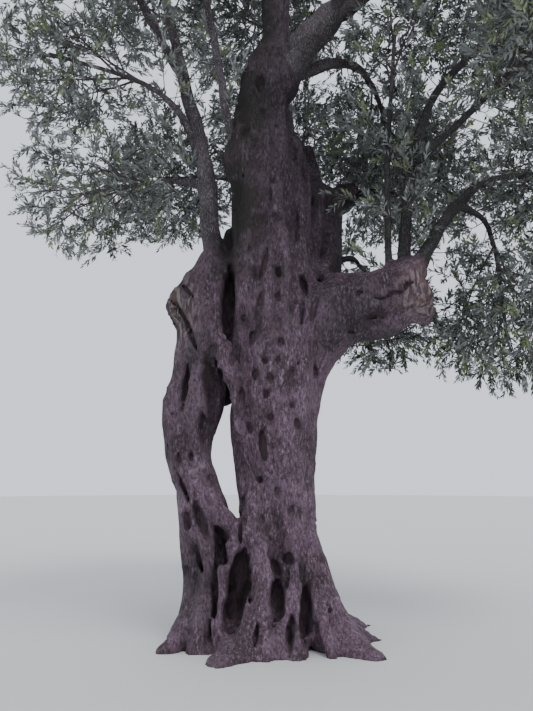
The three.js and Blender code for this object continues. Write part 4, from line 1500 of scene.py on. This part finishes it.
def bowed(starts, ends, bow, random):
    """Centres of twigs between starts and ends, each bowed a little aside."""
    aside = random.normal(scale=bow, size=starts.shape)
    return bent(starts, (starts + ends) / 2 + aside, ends, TWIG_RINGS)


def grow_mass(name, density, tint_shares):
    """One mass of foliage: stem and twigs by the solids' rule, then finer twigs, shoots and leaves."""
    feeder = next(key for key, (_, _, end, *_) in BOUGHS.items() if end == name)
    seed = list(BOUGHS).index(feeder) + 1
    rule = seeded(seed)
    centres, radii = bough_rings(feeder, BOUGH_STEPS)
    stem, stem_radii, curve = stem_rings(name, centres, radii[-1])
    twigs = twigs_of(name, stem, rule)
    placed = []
    sprays = [spray for twig in twigs for spray in sprays_of(name, twig, placed, rule)]
    random = np.random.default_rng(CROWN_SEED + seed)

    smooth_stem = np.vstack((stem[:1], bent(*[point[None] for point in curve], STEM_RINGS - 1)[0]))
    stem_sizes = mix(stem_radii[0], stem_radii[-1], np.linspace(0, 1, STEM_RINGS))
    twig_centres = bowed(*np.array(twigs).transpose(1, 0, 2), TWIG_BOW, random)
    roots, tips = np.array(sprays).transpose(1, 0, 2)
    spray_centres = bowed(roots, mix(roots, tips, SPRAY_TWIG_SHARE), SPRAY_BOW, random)

    rows = [smooth_stem[None], twig_centres, spray_centres]
    nodes = np.vstack([row[:, 1:].reshape(-1, 3) for row in rows])
    node_ways = units(np.vstack([np.diff(row, axis=1).reshape(-1, 3) for row in rows]))
    fine = fine_twigs(name, nodes, node_ways, density, random)
    wood = [
        (smooth_stem[None], stem_sizes[None], STEM_SIDES),
        (twig_centres, taper(TWIG_BASE_RADIUS, TWIG_TIP_RADIUS / 2, twig_centres), TWIG_SIDES),
        (spray_centres, taper(*SPRAY_TWIG_RADII, spray_centres), TWIG_SIDES),
        (fine, taper(*FINE_TWIG_RADII, fine), FINE_TWIG_SIDES),
    ]
    return leafy(wood, shoots_on(name, [*spray_centres, *fine], random), tint_shares, random)


def limb_growth(limbs, tint_shares):
    """Leafy twigs that grow straight from the limbs, between the masses."""
    random = np.random.default_rng(LIMB_TWIG_SEED)
    rows = []
    for name, (first, last, count) in limbs.items():
        centres, _ = bough_rings(name, LIMB_STEPS)
        for share in np.linspace(first, last, count):
            root, along = point_and_way(centres, share)
            side = side_of(along, random.uniform(0, 2 * math.pi))
            way = unit(side + along * random.uniform(*LIMB_TWIG_LEANS))
            length = random.uniform(*LIMB_TWIG_LENGTHS)
            tip = root + way * length
            tip[2] += LIMB_TWIG_LIFT * length * random.random()
            rows.append((root, root + way * length * BEND_PLACE, tip))
    fine = bent(*np.array(rows).transpose(1, 0, 2), FINE_TWIG_RINGS)
    wood = [(fine, taper(*FINE_TWIG_RADII, fine), FINE_TWIG_SIDES)]
    return leafy(wood, shoots_on(None, fine, random), tint_shares, random)


def crown_twigs(grown):
    """The stems, twigs and shoots of several masses as one mesh, and which of its faces are young shoots."""
    vertices, walls, ends, young = [], [], [], []
    total = 0

    def lay(centres, radii, sides, is_young):
        nonlocal total
        points, wall, end = tubes(centres, radii, sides)
        vertices.append(points)
        walls.append(wall + total)
        ends.append(end + total)
        young.append((np.full(len(wall), is_young), np.full(len(end), is_young)))
        total += len(points)

    for mass in grown:
        for centres, radii, sides in mass["wood"]:
            lay(centres, radii, sides, False)
        centres = bent(*mass["shoots"], SHOOT_RINGS)
        lay(centres, taper(*SHOOT_RADII, centres), SHOOT_SIDES, True)
    flags = np.concatenate([flag for kind in zip(*young) for flag in kind])
    return np.vstack(vertices), [np.vstack(walls), *ends], flags


def leaf_template():
    """One leaf: a thin closed blade that is widest before its middle, with its underside marked."""
    leaf = new_object("leaf_shape", np.array(LEAF_CORNERS), np.array(LEAF_FACES), smooth=False)
    add_attribute(leaf, "underside", "BOOLEAN", np.array(LEAF_BELOW), "FACE")
    return leaf


def leaf_tree(materials):
    """The node tree that sets a leaf on every point and gives each its finish by tint and side."""
    tree = bpy.data.node_groups.new("Leaves on shoots", "GeometryNodeTree")
    tree.is_modifier = True
    sockets = {"Points": "Geometry", "Leaf": "Object", "Length": "Float", "Width": "Float", "Fold": "Float"}
    for name, kind in sockets.items():
        tree.interface.new_socket(name, in_out="INPUT", socket_type=f"NodeSocket{kind}")
    tree.interface.new_socket("Leaves", in_out="OUTPUT", socket_type="NodeSocketGeometry")

    def read(name, kind):
        reader = node_in(tree, "GeometryNodeInputNamedAttribute", {"data_type": kind}, Name=name)
        return reader.outputs["Attribute"]

    given = tree.nodes.new("NodeGroupInput").outputs
    shape = node_in(tree, "GeometryNodeObjectInfo", Object=given["Leaf"])
    scales = {
        axis: product(tree, read("size", "FLOAT"), given[name])
        for axis, name in zip("XYZ", ("Width", "Length", "Fold"))
    }
    turn = read("turn", "FLOAT_VECTOR")
    scale = node_in(tree, "ShaderNodeCombineXYZ", **scales).outputs[0]
    leaf = shape.outputs["Geometry"]
    inputs = {"Points": given["Points"], "Instance": leaf, "Rotation": turn, "Scale": scale}
    placed = node_in(tree, "GeometryNodeInstanceOnPoints", **inputs)
    made = node_in(tree, "GeometryNodeRealizeInstances", Geometry=placed.outputs["Instances"])
    for number, tint in enumerate(TINTS):
        same = node_in(tree, "FunctionNodeCompare", {"data_type": "INT", "operation": "EQUAL"})
        for place, value in zip(WHOLE_NUMBER_INPUTS, (read("tint", "INT"), number)):
            feed(tree, same.inputs[place], value)
        below = node_in(tree, "FunctionNodeBooleanMath", {"operation": "AND"})
        for socket, value in zip(below.inputs, (same.outputs[0], read("underside", "BOOLEAN"))):
            feed(tree, socket, value)
        for side, chosen in (("above", same), ("below", below)):
            finish_inputs = {"Geometry": made.outputs["Geometry"], "Selection": chosen.outputs[0]}
            made = node_in(tree, "GeometryNodeSetMaterial", Material=materials[tint, side], **finish_inputs)
    result = tree.nodes.new("NodeGroupOutput")
    feed(tree, result.inputs["Leaves"], made.outputs["Geometry"])
    return tree


def leaves_piece(name, grown, tree, template, sizes):
    """Leaves of several masses as one plain mesh."""
    places, turns, size, tint = [np.concatenate(part) for part in zip(*[mass["leaves"] for mass in grown])]
    points = new_object(name + "_points", places, np.empty((0, 3), int))
    add_attribute(points, "turn", "FLOAT_VECTOR", turns.astype(np.float32))
    add_attribute(points, "size", "FLOAT", size.astype(np.float32))
    add_attribute(points, "tint", "INT", tint.astype(np.int32))
    modifier = points.modifiers.new("Leaves", "NODES")
    modifier.node_group = tree
    inputs = {item.name: item.identifier for item in tree.interface.items_tree if item.in_out == "INPUT"}
    modifier[inputs["Leaf"]] = template
    for key, value in sizes.items():
        modifier[inputs[key]] = value
    view = bpy.context.evaluated_depsgraph_get()
    made = points.evaluated_get(view)
    mesh = bpy.data.meshes.new_from_object(made, preserve_all_data_layers=True, depsgraph=view)
    bpy.data.objects.remove(points)
    for key in ("turn", "size", "tint", "underside"):
        if key in mesh.attributes:
            mesh.attributes.remove(mesh.attributes[key])
    mesh.name = name
    obj = bpy.data.objects.new(name, mesh)
    bpy.context.scene.collection.objects.link(obj)
    return obj


# Boughs as rounded tubes that are swollen at the foot, sway and have lumps

BOUGH_RING_STEP = 0.03
BOUGH_SIDES = 16
BOUGH_FOOT_SWELL = 0.28
BOUGH_FOOT_LENGTH = 0.16
BOUGH_LUMP = 0.17
BOUGH_LUMP_LENGTHS = (0.11, 0.11, 0.2)
BOUGH_WANDER = 0.65
BOUGH_WANDER_LENGTHS = (0.6, 0.6, 0.6)
BOUGH_WANDER_SEEDS = (90, 91, 92)
BOUGH_LUMP_SEED = 95
BOUGH_END_LENGTH = 0.1

# The boughs that are joined into each piece
BOUGH_GROUPS = {
    "left_boughs": (
        "left_bough", "left_side_bough", "left_low_bough", "left_front_bough", "inner_left_bough",
    ),
    "fork_boughs": ("fork_right_bough", "front_right_bough", "fork_side_bough", "back_top_bough"),
    "back_boughs": (
        "back_bough", "back_right_bough", "back_left_bough", "back_low_bough", "right_under_bough",
    ),
    "right_shoots": ("upright_shoot", "rising_shoot", "outer_shoot", "drooping_bough", "right_front_bough"),
}

# The boughs whose bark gets painted shade: its colours are multiplied by the shade colour
SHADED_GROUPS = ("back_boughs", "right_shoots")


def bough_mesh(names):
    """Several boughs as one mesh: rounded tubes, swollen at the foot and uneven along their length."""
    vertices, walls, ends = [], [], []
    total = 0
    for name in names:
        length = lengths_of(bough_rings(name, LIMB_STEPS)[0])
        steps = int(length / BOUGH_RING_STEP)
        centres, radii = bough_rings(name, steps)
        run = np.linspace(0, length, steps + 1)
        ease = np.sin(np.linspace(0, math.pi, steps + 1))[:, None]
        at = centres.astype(np.float32)
        sway = [layered_noise(at, BOUGH_WANDER_LENGTHS, 2, seed) for seed in BOUGH_WANDER_SEEDS]
        centres = centres + np.column_stack(sway) * ease * radii[:, None] * BOUGH_WANDER
        radii = radii * (1 + BOUGH_FOOT_SWELL * np.exp(-run / BOUGH_FOOT_LENGTH))
        points, wall, end = tubes(centres[None], radii[None], BOUGH_SIDES)
        middles = np.repeat(centres, BOUGH_SIDES, axis=0)
        lumps = layered_noise(points.astype(np.float32), BOUGH_LUMP_LENGTHS, 3, BOUGH_LUMP_SEED) * BOUGH_LUMP
        fade = np.repeat(np.clip((length - run) / BOUGH_END_LENGTH, 0, 1), BOUGH_SIDES)
        points = middles + (points - middles) * (1 + lumps * fade)[:, None]
        vertices.append(points)
        walls.append(wall + total)
        ends.append(end + total)
        total += len(points)
    return np.vstack(vertices), [np.vstack(walls), np.vstack(ends)]


# Finishes

# The bark's noise: where it is read, its scale, its detail and its roughness
BARK_STRETCH = (1, 1, 0.4)
BARK_NOISE = {
    "patches": ("plain", 2.4, 4, 0.55),
    "streaks": ("stretched", 13, 4, 0.6),
    "grain": ("stretched", 46, 4, 0.7),
    "grit": ("sized", 95, 3, 0.7),
    "furrows": ("stretched", 26, 3, 0.55),
    "cracked": ("sized", 7, 2, 0.55),
}

# The values of the noise between which each effect sets in
BARK_RAMPS = {
    "patches": (0.36, 0.62),
    "streaks": (0.4, 0.62),
    "worn": (0.48, 0.66),
    "pores": (0.49, 0.38),
    "specks": (0.45, 0.34),
    "crack": (0.0, 0.04),
    "cracked": (0.4, 0.6),
}

# How strongly each effect shows, and what it adds to the relief and to the roughness
STREAK_SHARE = 0.65
WORN_SHARE = 0.9
PORE_SHARE = 0.62
SPECK_SHARE = 0.5
CRACK_SHARE = 0.6
CRACK_HEIGHT_SHARE = 0.3
HEIGHT_SHARES = {"grain": 1.3, "grit": 0.7, "streaks": 0.5}
ROUGHNESS = (0.82, 0.15)
BARK_INPUTS = (
    ("Vector", "Vector", None),
    ("Grain Size", "Float", 1.0),
    ("Deep", "Color", (0.05, 0.04, 0.05, 1)),
    ("Middle", "Color", (0.1, 0.08, 0.1, 1)),
    ("Pale", "Color", (0.2, 0.17, 0.2, 1)),
    ("Crack", "Color", (0.014, 0.01, 0.012, 1)),
)
BARK_OUTPUTS = (("Colour", "Color"), ("Height", "Float"), ("Roughness", "Float"))

# Age, with painted shade in folds and dark places and painted light in hollows: the masks that say where
# each shows, the noise's scale, detail and roughness, and where each sets in
MASKS = ("hollow", "fold", "bare", "moss", "dark")
SPOT_NOISE = (7.0, 4.0, 0.5)
FIBRE_NOISE = (30.0, 3.0, 0.5)
FIBRE_LEAN = (0, 0.5, 0)
FIBRE_STRETCH = (1, 1, 0.16)
FIBRE_RAMP = (0.42, 0.58)
RUST_RAMP = (0.53, 0.63)
BARE_RAMP = (0.3, 0.5)
MOSS_RAMP = (0.28, 0.5)
MOSS_SHARE = 0.9
HOLLOW_OPEN_SHARE = 0.8
FOLD_SHADE_SHARE = 0.3
HOLLOW_LIGHT_SHARE = 0.55

# A mixing node's sockets for colours
COLOUR_MIX_INPUTS = (0, 6, 7)
COLOUR_MIX_RESULT = 2

# How strong the fine relief is on bark and on other things, and how fine the bark's grain is
BARK_RELIEF = 0.9
PLAIN_RELIEF = 0.5
PLAIN_NOISE = (2.0, 0.5)
TRUNK_GRAIN = 1.0
BOUGH_GRAIN = 1.7

# Small things and the floor: roughness, and the scale and depth of the relief
SURFACES = {
    "above": (0.42, 90.0, 0.0015),
    "below": (0.7, 90.0, 0.0015),
    "twig": (0.85, 60.0, 0.004),
    "shoot": (0.7, 120.0, 0.001),
    "floor": (0.9, 3.0, 0.002),
}


def mix_colours(tree, share, a, b, blend="MIX"):
    """A colour mixed from two sockets or colours by a mask."""
    node = node_in(tree, "ShaderNodeMix", {"data_type": "RGBA", "blend_type": blend})
    for number, value in zip(COLOUR_MIX_INPUTS, (share, a, b)):
        feed(tree, node.inputs[number], value)
    return node.outputs[COLOUR_MIX_RESULT]


def ramp(tree, value, low, high):
    """A socket's value stretched so that low becomes 0 and high becomes 1, smoothly."""
    smooth = {"interpolation_type": "SMOOTHSTEP"}
    node = node_in(tree, "ShaderNodeMapRange", smooth, From_Min=low, From_Max=high, Value=value)
    return node.outputs["Result"]


def noise_in(tree, vector, scale, detail, roughness):
    """Noise that is read at a vector."""
    look = {"Scale": scale, "Detail": detail, "Roughness": roughness}
    return node_in(tree, "ShaderNodeTexNoise", Vector=vector, **look).outputs["Fac"]


def bark_group():
    """The node group of bark: broad patches, long plates with cracks between, and a fine grain."""
    tree = bpy.data.node_groups.new("Olive bark", "ShaderNodeTree")
    for name, kind, value in BARK_INPUTS:
        socket = tree.interface.new_socket(name, in_out="INPUT", socket_type=f"NodeSocket{kind}")
        if value is not None:
            socket.default_value = value
    for name, kind in BARK_OUTPUTS:
        tree.interface.new_socket(name, in_out="OUTPUT", socket_type=f"NodeSocket{kind}")
    given = tree.nodes.new("NodeGroupInput").outputs
    scale = {"operation": "SCALE"}
    sized = node_in(tree, "ShaderNodeVectorMath", scale, Vector=given["Vector"], Scale=given["Grain Size"])
    stretched = node_in(tree, "ShaderNodeMapping", Vector=sized.outputs[0], Scale=BARK_STRETCH)
    source = {"plain": given["Vector"], "sized": sized.outputs[0], "stretched": stretched.outputs[0]}
    noise = {name: noise_in(tree, source[where], *look) for name, (where, *look) in BARK_NOISE.items()}

    def effect(name, value):
        return ramp(tree, value, *BARK_RAMPS[name])

    off_middle = maths(tree, "ABSOLUTE", maths(tree, "SUBTRACT", noise["furrows"], 0.5))
    crack = rest_of(tree, effect("crack", off_middle))
    crack = product(tree, crack, effect("cracked", noise["cracked"]))
    colour = mix_colours(tree, effect("patches", noise["patches"]), given["Deep"], given["Middle"])
    lit = sum_of(tree, product(tree, effect("streaks", noise["streaks"]), STREAK_SHARE), 1 - STREAK_SHARE)
    worn = product(tree, lit, product(tree, effect("worn", noise["grain"]), WORN_SHARE))
    colour = mix_colours(tree, worn, colour, given["Pale"])
    pores = product(tree, effect("pores", noise["grain"]), PORE_SHARE)
    specks = product(tree, effect("specks", noise["grit"]), SPECK_SHARE)
    shade = maths(tree, "MAXIMUM", maths(tree, "MAXIMUM", pores, specks), product(tree, crack, CRACK_SHARE))
    height = product(tree, rest_of(tree, crack), CRACK_HEIGHT_SHARE)
    for name, share in HEIGHT_SHARES.items():
        height = sum_of(tree, height, product(tree, noise[name], share))
    least, more = ROUGHNESS
    result = tree.nodes.new("NodeGroupOutput")
    feed(tree, result.inputs["Colour"], mix_colours(tree, shade, colour, given["Crack"]))
    feed(tree, result.inputs["Height"], height)
    feed(tree, result.inputs["Roughness"], sum_of(tree, product(tree, noise["grit"], more), least))
    return tree


def shared_bark():
    """The one node group that all bark uses."""
    return bpy.data.node_groups.get("Olive bark") or bark_group()


def new_material(name):
    """A material with its node tree, its shader and the socket of its object coordinates."""
    material = bpy.data.materials.new(name)
    material.use_nodes = True
    nodes = material.node_tree.nodes
    place = nodes.new("ShaderNodeTexCoord").outputs["Object"]
    return material, material.node_tree, nodes["Principled BSDF"], place


def finish(tree, shader, colour, roughness, height, strength, bump):
    """Feeds a material's shader with a colour, a roughness and a fine relief."""
    relief = node_in(tree, "ShaderNodeBump", Strength=strength, Distance=bump, Height=height)
    values = {"Base Color": colour, "Roughness": roughness, "Normal": relief.outputs["Normal"]}
    for name, value in values.items():
        feed(tree, shader.inputs[name], value)


def aged_and_shaded(tree, vector, colour, look):
    """Bark's colour with bare wood, moss, painted shade on dark sides and in folds, painted light in hollows,
    by mask.
    """
    readers = {key: node_in(tree, "ShaderNodeAttribute", {"attribute_name": key}) for key in MASKS}
    mask = {key: reader.outputs["Fac"] for key, reader in readers.items()}
    spots = noise_in(tree, vector, *SPOT_NOISE)
    fibres = node_in(tree, "ShaderNodeMapping", Vector=vector, Rotation=FIBRE_LEAN, Scale=FIBRE_STRETCH)
    fibres = noise_in(tree, fibres.outputs[0], *FIBRE_NOISE)

    wood = mix_colours(tree, ramp(tree, fibres, *FIBRE_RAMP), look["Dark"], look["Light"])
    wood = mix_colours(tree, ramp(tree, spots, *RUST_RAMP), wood, look["Rust"])
    colour = mix_colours(tree, product(tree, mask["bare"], ramp(tree, spots, *BARE_RAMP)), colour, wood)
    mossy = product(tree, product(tree, mask["moss"], ramp(tree, spots, *MOSS_RAMP)), MOSS_SHARE)
    colour = mix_colours(tree, mossy, colour, look["Moss"])
    # Painted shade: where the dark mask says, the bark's colour is multiplied by the shade colour
    colour = mix_colours(tree, mask["dark"], colour, look["Shade"], "MULTIPLY")
    # Painted shade deep in folds, weakened inside hollows
    open_share = rest_of(tree, product(tree, mask["hollow"], HOLLOW_OPEN_SHARE))
    fold_shade = product(tree, product(tree, mask["fold"], open_share), FOLD_SHADE_SHARE)
    colour = mix_colours(tree, fold_shade, colour, look["Fold"])
    # Painted light: hollow walls are lightened towards the hollow colour, for the light that reaches into
    # them
    return mix_colours(tree, product(tree, mask["hollow"], HOLLOW_LIGHT_SHARE), colour, look["Hollow"])


def bark_material(name, look, bump, grain_size, age_and_shade_look=None):
    """Bark from the shared group, with the marks of age and painted light and shade where a look for them is
    given.
    """
    material, tree, shader, vector = new_material(name)
    group = {"node_tree": shared_bark()}
    bark = node_in(tree, "ShaderNodeGroup", group, Vector=vector, Grain_Size=grain_size, **look)
    colour = bark.outputs["Colour"]
    if age_and_shade_look:
        colour = aged_and_shaded(tree, vector, colour, age_and_shade_look)
    finish(tree, shader, colour, bark.outputs["Roughness"], bark.outputs["Height"], BARK_RELIEF, bump)
    return material


def plain_material(name, colour, surface):
    """A plain colour with a fine relief, for small things made in great number and for the floor."""
    roughness, scale, bump = SURFACES[surface]
    material, tree, shader, vector = new_material(name)
    noise = noise_in(tree, vector, scale, *PLAIN_NOISE)
    finish(tree, shader, colour, roughness, noise, PLAIN_RELIEF, bump)
    return material


# Settings that a user would change


def colour_setting(name, description, value):
    """A colour that the user can set."""
    shared = {"subtype": "COLOR", "size": 3, "min": 0, "max": 1}
    return FloatVectorProperty(name=name, description=description, default=value, **shared)


def length_setting(name, description, value, least=0.0):
    """A length in metres that the user can set."""
    shared = {"subtype": "DISTANCE", "unit": "LENGTH"}
    return FloatProperty(name=name, description=description, default=value, min=least, **shared)


def number_setting(name, description, value, least=0.0):
    """A plain number that the user can set."""
    return FloatProperty(name=name, description=description, default=value, min=least)


class WoodSettings(bpy.types.PropertyGroup):
    """Colours and relief of the trunk and the boughs."""

    bark_deep: colour_setting("Deep bark", "Bark in broad dark patches", (0.072, 0.042, 0.056))
    bark_middle: colour_setting("Bark", "Most of the trunk's bark", (0.157, 0.096, 0.134))
    bark_pale: colour_setting("Worn bark", "Bark on worn ridges", (0.3, 0.21, 0.276))
    bough_deep: colour_setting("Deep bough bark", "Dark patches on the boughs", (0.05, 0.042, 0.045))
    bough_middle: colour_setting("Bough bark", "Most of the boughs' bark", (0.108, 0.088, 0.097))
    bough_pale: colour_setting("Worn bough bark", "Worn ridges on the boughs", (0.27, 0.245, 0.255))
    wood_dark: colour_setting("Dark wood", "Dark fibres of the bare wood", (0.078, 0.054, 0.055))
    wood_light: colour_setting("Light wood", "Light fibres of the bare wood", (0.41, 0.31, 0.31))
    wood_rust: colour_setting("Rusty wood", "Rotting patches of the bare wood", (0.17, 0.108, 0.09))
    moss: colour_setting("Moss", "Moss on the shaded side", (0.026, 0.023, 0.013))
    # Painted shade: bark under the crown and on shaded flanks is multiplied by this colour
    shade: colour_setting("Darkening", "What dark bark's colour is multiplied by", (0.42, 0.49, 0.44))
    # Painted shade: the colour that folds are darkened towards
    fold: colour_setting("Fold", "What shows deep in folds", (0.022, 0.015, 0.016))
    # Painted light: hollow walls are lightened towards this colour
    hollow: colour_setting("Hollow", "The wall of a hollow", (0.215, 0.15, 0.16))
    trunk_bump: length_setting("Trunk relief", "Depth of the bark's fine relief", 0.02)
    bough_bump: length_setting("Bough relief", "Depth of the boughs' fine relief", 0.008)


class CrownSettings(bpy.types.PropertyGroup):
    """Sizes, number and colours of the twigs and leaves."""

    density: number_setting("Fine twigs", "Fine twigs tried in each cubic metre of a mass", 72, 1)
    leaf_length: length_setting("Leaf length", "Length of a leaf", 0.09, 0.01)
    leaf_width: length_setting("Leaf width", "Width of a leaf", 0.027, 0.002)
    leaf_fold: length_setting("Leaf fold", "How far a leaf's edges turn down", 0.0026, 0.0005)
    deep_above: colour_setting("Deep leaf", "Upper side of the darkest leaves", (0.04, 0.053, 0.034))
    mid_above: colour_setting("Leaf", "Upper side of most leaves", (0.07, 0.089, 0.058))
    grey_above: colour_setting("Grey leaf", "Upper side of greyish leaves", (0.124, 0.14, 0.116))
    young_above: colour_setting("Young leaf", "Upper side of young leaves", (0.135, 0.18, 0.066))
    deep_below: colour_setting("Deep leaf, below", "Underside of the darkest leaves", (0.178, 0.194, 0.182))
    mid_below: colour_setting("Leaf, below", "Underside of most leaves", (0.23, 0.246, 0.234))
    grey_below: colour_setting("Grey leaf, below", "Underside of greyish leaves", (0.3, 0.312, 0.306))
    young_below: colour_setting("Young leaf, below", "Underside of young leaves", (0.26, 0.3, 0.18))
    twig_bark: colour_setting("Twig bark", "Bark of stems and twigs", (0.085, 0.07, 0.074))
    shoot_bark: colour_setting("Shoot bark", "Bark of young shoots", (0.15, 0.155, 0.115))


class StageSettings(bpy.types.PropertyGroup):
    """The floor, the light and the camera."""

    floor: colour_setting("Floor", "Colour of the floor", (0.62, 0.62, 0.61))
    sky: colour_setting("Light round about", "Colour of the soft light from all sides", (0.86, 0.9, 1.0))
    sky_strength: number_setting("Light round about, strength", "Strength of the soft light", 1.25)
    sun_strength: number_setting("Main light", "Strength of the broad main light", 1.2)
    eye_height: length_setting("Eye height", "Height of the camera", 1.6)
    eye_distance: length_setting("Distance", "Distance from the camera to the trunk's middle", 7.287, 0.5)
    eye_pitch: FloatProperty(
        name="Upward tilt",
        description="How far the camera looks up",
        subtype="ANGLE",
        unit="ROTATION",
        default=math.radians(9.204),
    )
    lens: number_setting("Lens", "Focal length in millimetres on a 36 mm sensor", 36.4, 1)


# The floor, the main light's width and turn in degrees, and the camera's place aside and the ends of its view
FLOOR_RADIUS = 45.0
FLOOR_SIDES = 64
SUN_WIDTH = 25
SUN_TURN = (34, 0, 30)
EYE_ASIDE = -0.05
EYE_ENDS = (0.05, 300)


class OLIVE_OT_trunk(bpy.types.Operator):
    """Build the trunk, its roots, the side stem, the sawn limb, the back stem and the main fork"""

    bl_idname = "olive.trunk"
    bl_label = "Trunk"

    def execute(self, context):
        settings = context.scene.olive_wood
        vertices, quads, masks = wood_surface()
        trunk = new_object("trunk_wood", vertices, quads)
        for name, values in masks.items():
            add_attribute(trunk, name, "FLOAT", values.astype(np.float32))
        look = {"Deep": settings.bark_deep, "Middle": settings.bark_middle, "Pale": settings.bark_pale}
        wood = {"Dark": settings.wood_dark, "Light": settings.wood_light, "Rust": settings.wood_rust}
        # Moss is the bark's own; Shade and Fold are painted shade, and Hollow is painted light
        for name in ("Moss", "Shade", "Fold", "Hollow"):
            wood[name] = getattr(settings, name.lower())
        bark = bark_material("Trunk bark", look, settings.trunk_bump, TRUNK_GRAIN, wood)
        nodes = ("trunk", "left_stem", "right_stub", "back_stem", "fork_left_bough")
        finish_piece(trunk, [bark], "trunk_bark", *nodes)
        return {"FINISHED"}


class OLIVE_OT_boughs(bpy.types.Operator):
    """Build the boughs and the shoots of the sawn limb"""

    bl_idname = "olive.boughs"
    bl_label = "Boughs"

    def execute(self, context):
        settings = context.scene.olive_wood
        look = {"Deep": settings.bough_deep, "Middle": settings.bough_middle, "Pale": settings.bough_pale}
        # Painted shade: a copy of the bough bark multiplied by the shade colour, for boughs in the crown's
        # shade
        shaded = {key: [a * b for a, b in zip(colour, settings.shade)] for key, colour in look.items()}
        light_bark = bark_material("Bough bark", look, settings.bough_bump, BOUGH_GRAIN)
        shaded_bark = bark_material("Shaded bough bark", shaded, settings.bough_bump, BOUGH_GRAIN)
        for name, members in BOUGH_GROUPS.items():
            piece = new_object(name, *bough_mesh(members))
            bark = shaded_bark if name in SHADED_GROUPS else light_bark
            finish_piece(piece, [bark], "bough_bark", *members)
        return {"FINISHED"}


class OLIVE_OT_crown(bpy.types.Operator):
    """Build the twigs and the leaves of every mass of foliage"""

    bl_idname = "olive.crown"
    bl_label = "Twigs and leaves"

    def execute(self, context):
        settings = context.scene.olive_crown
        materials = {}
        for tint in TINTS:
            for side, name in (("above", f"Leaf {tint}"), ("below", f"Leaf {tint} underside")):
                materials[tint, side] = plain_material(name, getattr(settings, f"{tint}_{side}"), side)
        old_bark = plain_material("Twig bark", settings.twig_bark, "twig")
        young_bark = plain_material("Shoot bark", settings.shoot_bark, "shoot")
        tree = leaf_tree(materials)
        template = leaf_template()
        sizes = {"Length": settings.leaf_length, "Width": settings.leaf_width, "Fold": settings.leaf_fold}
        for part, masses in CROWN_PARTS.items():
            density = settings.density * DENSITY_SHARES[part]
            grown = [grow_mass(name, density, TINT_SHARES[part]) for name in masses]
            grown.append(limb_growth(LIMB_TWIGS[part], TINT_SHARES[part]))
            nodes = ["foliage_" + name for name in masses]
            vertices, faces, young = crown_twigs(grown)
            twigs = new_object(f"{part}_twigs", vertices, faces)
            finish_piece(twigs, [old_bark, young_bark], "bough_bark", *nodes)
            twigs.data.polygons.foreach_set("material_index", young.astype(np.int32))
            leaves = leaves_piece(f"{part}_leaves", grown, tree, template, sizes)
            finish_piece(leaves, None, "foliage", *nodes)
        bpy.data.objects.remove(template)
        return {"FINISHED"}


class OLIVE_OT_stage(bpy.types.Operator):
    """Set the floor, the soft light and the camera"""

    bl_idname = "olive.stage"
    bl_label = "Floor, light and camera"

    def execute(self, context):
        settings = context.scene.olive_stage
        angles = np.arange(FLOOR_SIDES) * 2 * math.pi / FLOOR_SIDES
        rim = np.column_stack((np.cos(angles), np.sin(angles), np.zeros(FLOOR_SIDES))) * FLOOR_RADIUS
        floor = new_object("floor", rim, np.arange(FLOOR_SIDES)[None], smooth=False)
        floor.data.materials.append(plain_material("Floor", settings.floor, "floor"))

        world = bpy.data.worlds.new("Soft light")
        world.use_nodes = True
        context.scene.world = world
        glow = world.node_tree.nodes["Background"]
        glow.inputs["Color"].default_value = (*settings.sky, 1)
        glow.inputs["Strength"].default_value = settings.sky_strength

        sun = bpy.data.lights.new("Main light", "SUN")
        sun.energy = settings.sun_strength
        sun.angle = math.radians(SUN_WIDTH)
        lamp = bpy.data.objects.new("Main light", sun)
        lamp.rotation_euler = [math.radians(turn) for turn in SUN_TURN]
        context.scene.collection.objects.link(lamp)

        camera = bpy.data.objects.new("Camera", bpy.data.cameras.new("Camera"))
        camera.data.lens = settings.lens
        camera.data.clip_start, camera.data.clip_end = EYE_ENDS
        camera.location = (EYE_ASIDE, -settings.eye_distance, settings.eye_height)
        camera.rotation_euler = (math.pi / 2 + settings.eye_pitch, 0, 0)
        context.scene.collection.objects.link(camera)
        context.scene.camera = camera
        return {"FINISHED"}


class OLIVE_PT_panel(bpy.types.Panel):
    """Lists the parts of the tree"""

    bl_idname = "OLIVE_PT_panel"
    bl_label = "Olive tree"
    bl_space_type = "VIEW_3D"
    bl_region_type = "UI"
    bl_category = "Olive tree"

    def draw(self, context):
        layout = self.layout
        for operator in OPERATORS:
            layout.operator(operator.bl_idname)
        for name in SETTINGS:
            settings = getattr(context.scene, name)
            box = layout.box()
            for key in settings.__annotations__:
                box.prop(settings, key)


SETTINGS = {"olive_wood": WoodSettings, "olive_crown": CrownSettings, "olive_stage": StageSettings}
OPERATORS = (OLIVE_OT_stage, OLIVE_OT_trunk, OLIVE_OT_boughs, OLIVE_OT_crown)
CLASSES = (*SETTINGS.values(), *OPERATORS, OLIVE_PT_panel)


def register():
    """Makes the settings, the operators and the panel known."""
    for item in CLASSES:
        bpy.utils.register_class(item)
    for name, kind in SETTINGS.items():
        setattr(bpy.types.Scene, name, PointerProperty(type=kind))


def unregister():
    """Takes back what register makes known."""
    for name in SETTINGS:
        delattr(bpy.types.Scene, name)
    for item in reversed(CLASSES):
        bpy.utils.unregister_class(item)


def main():
    """Builds the stage and the tree."""
    register()
    bpy.ops.olive.stage()
    bpy.ops.olive.trunk()
    bpy.ops.olive.boughs()
    bpy.ops.olive.crown()


if __name__ == "__main__":
    main()
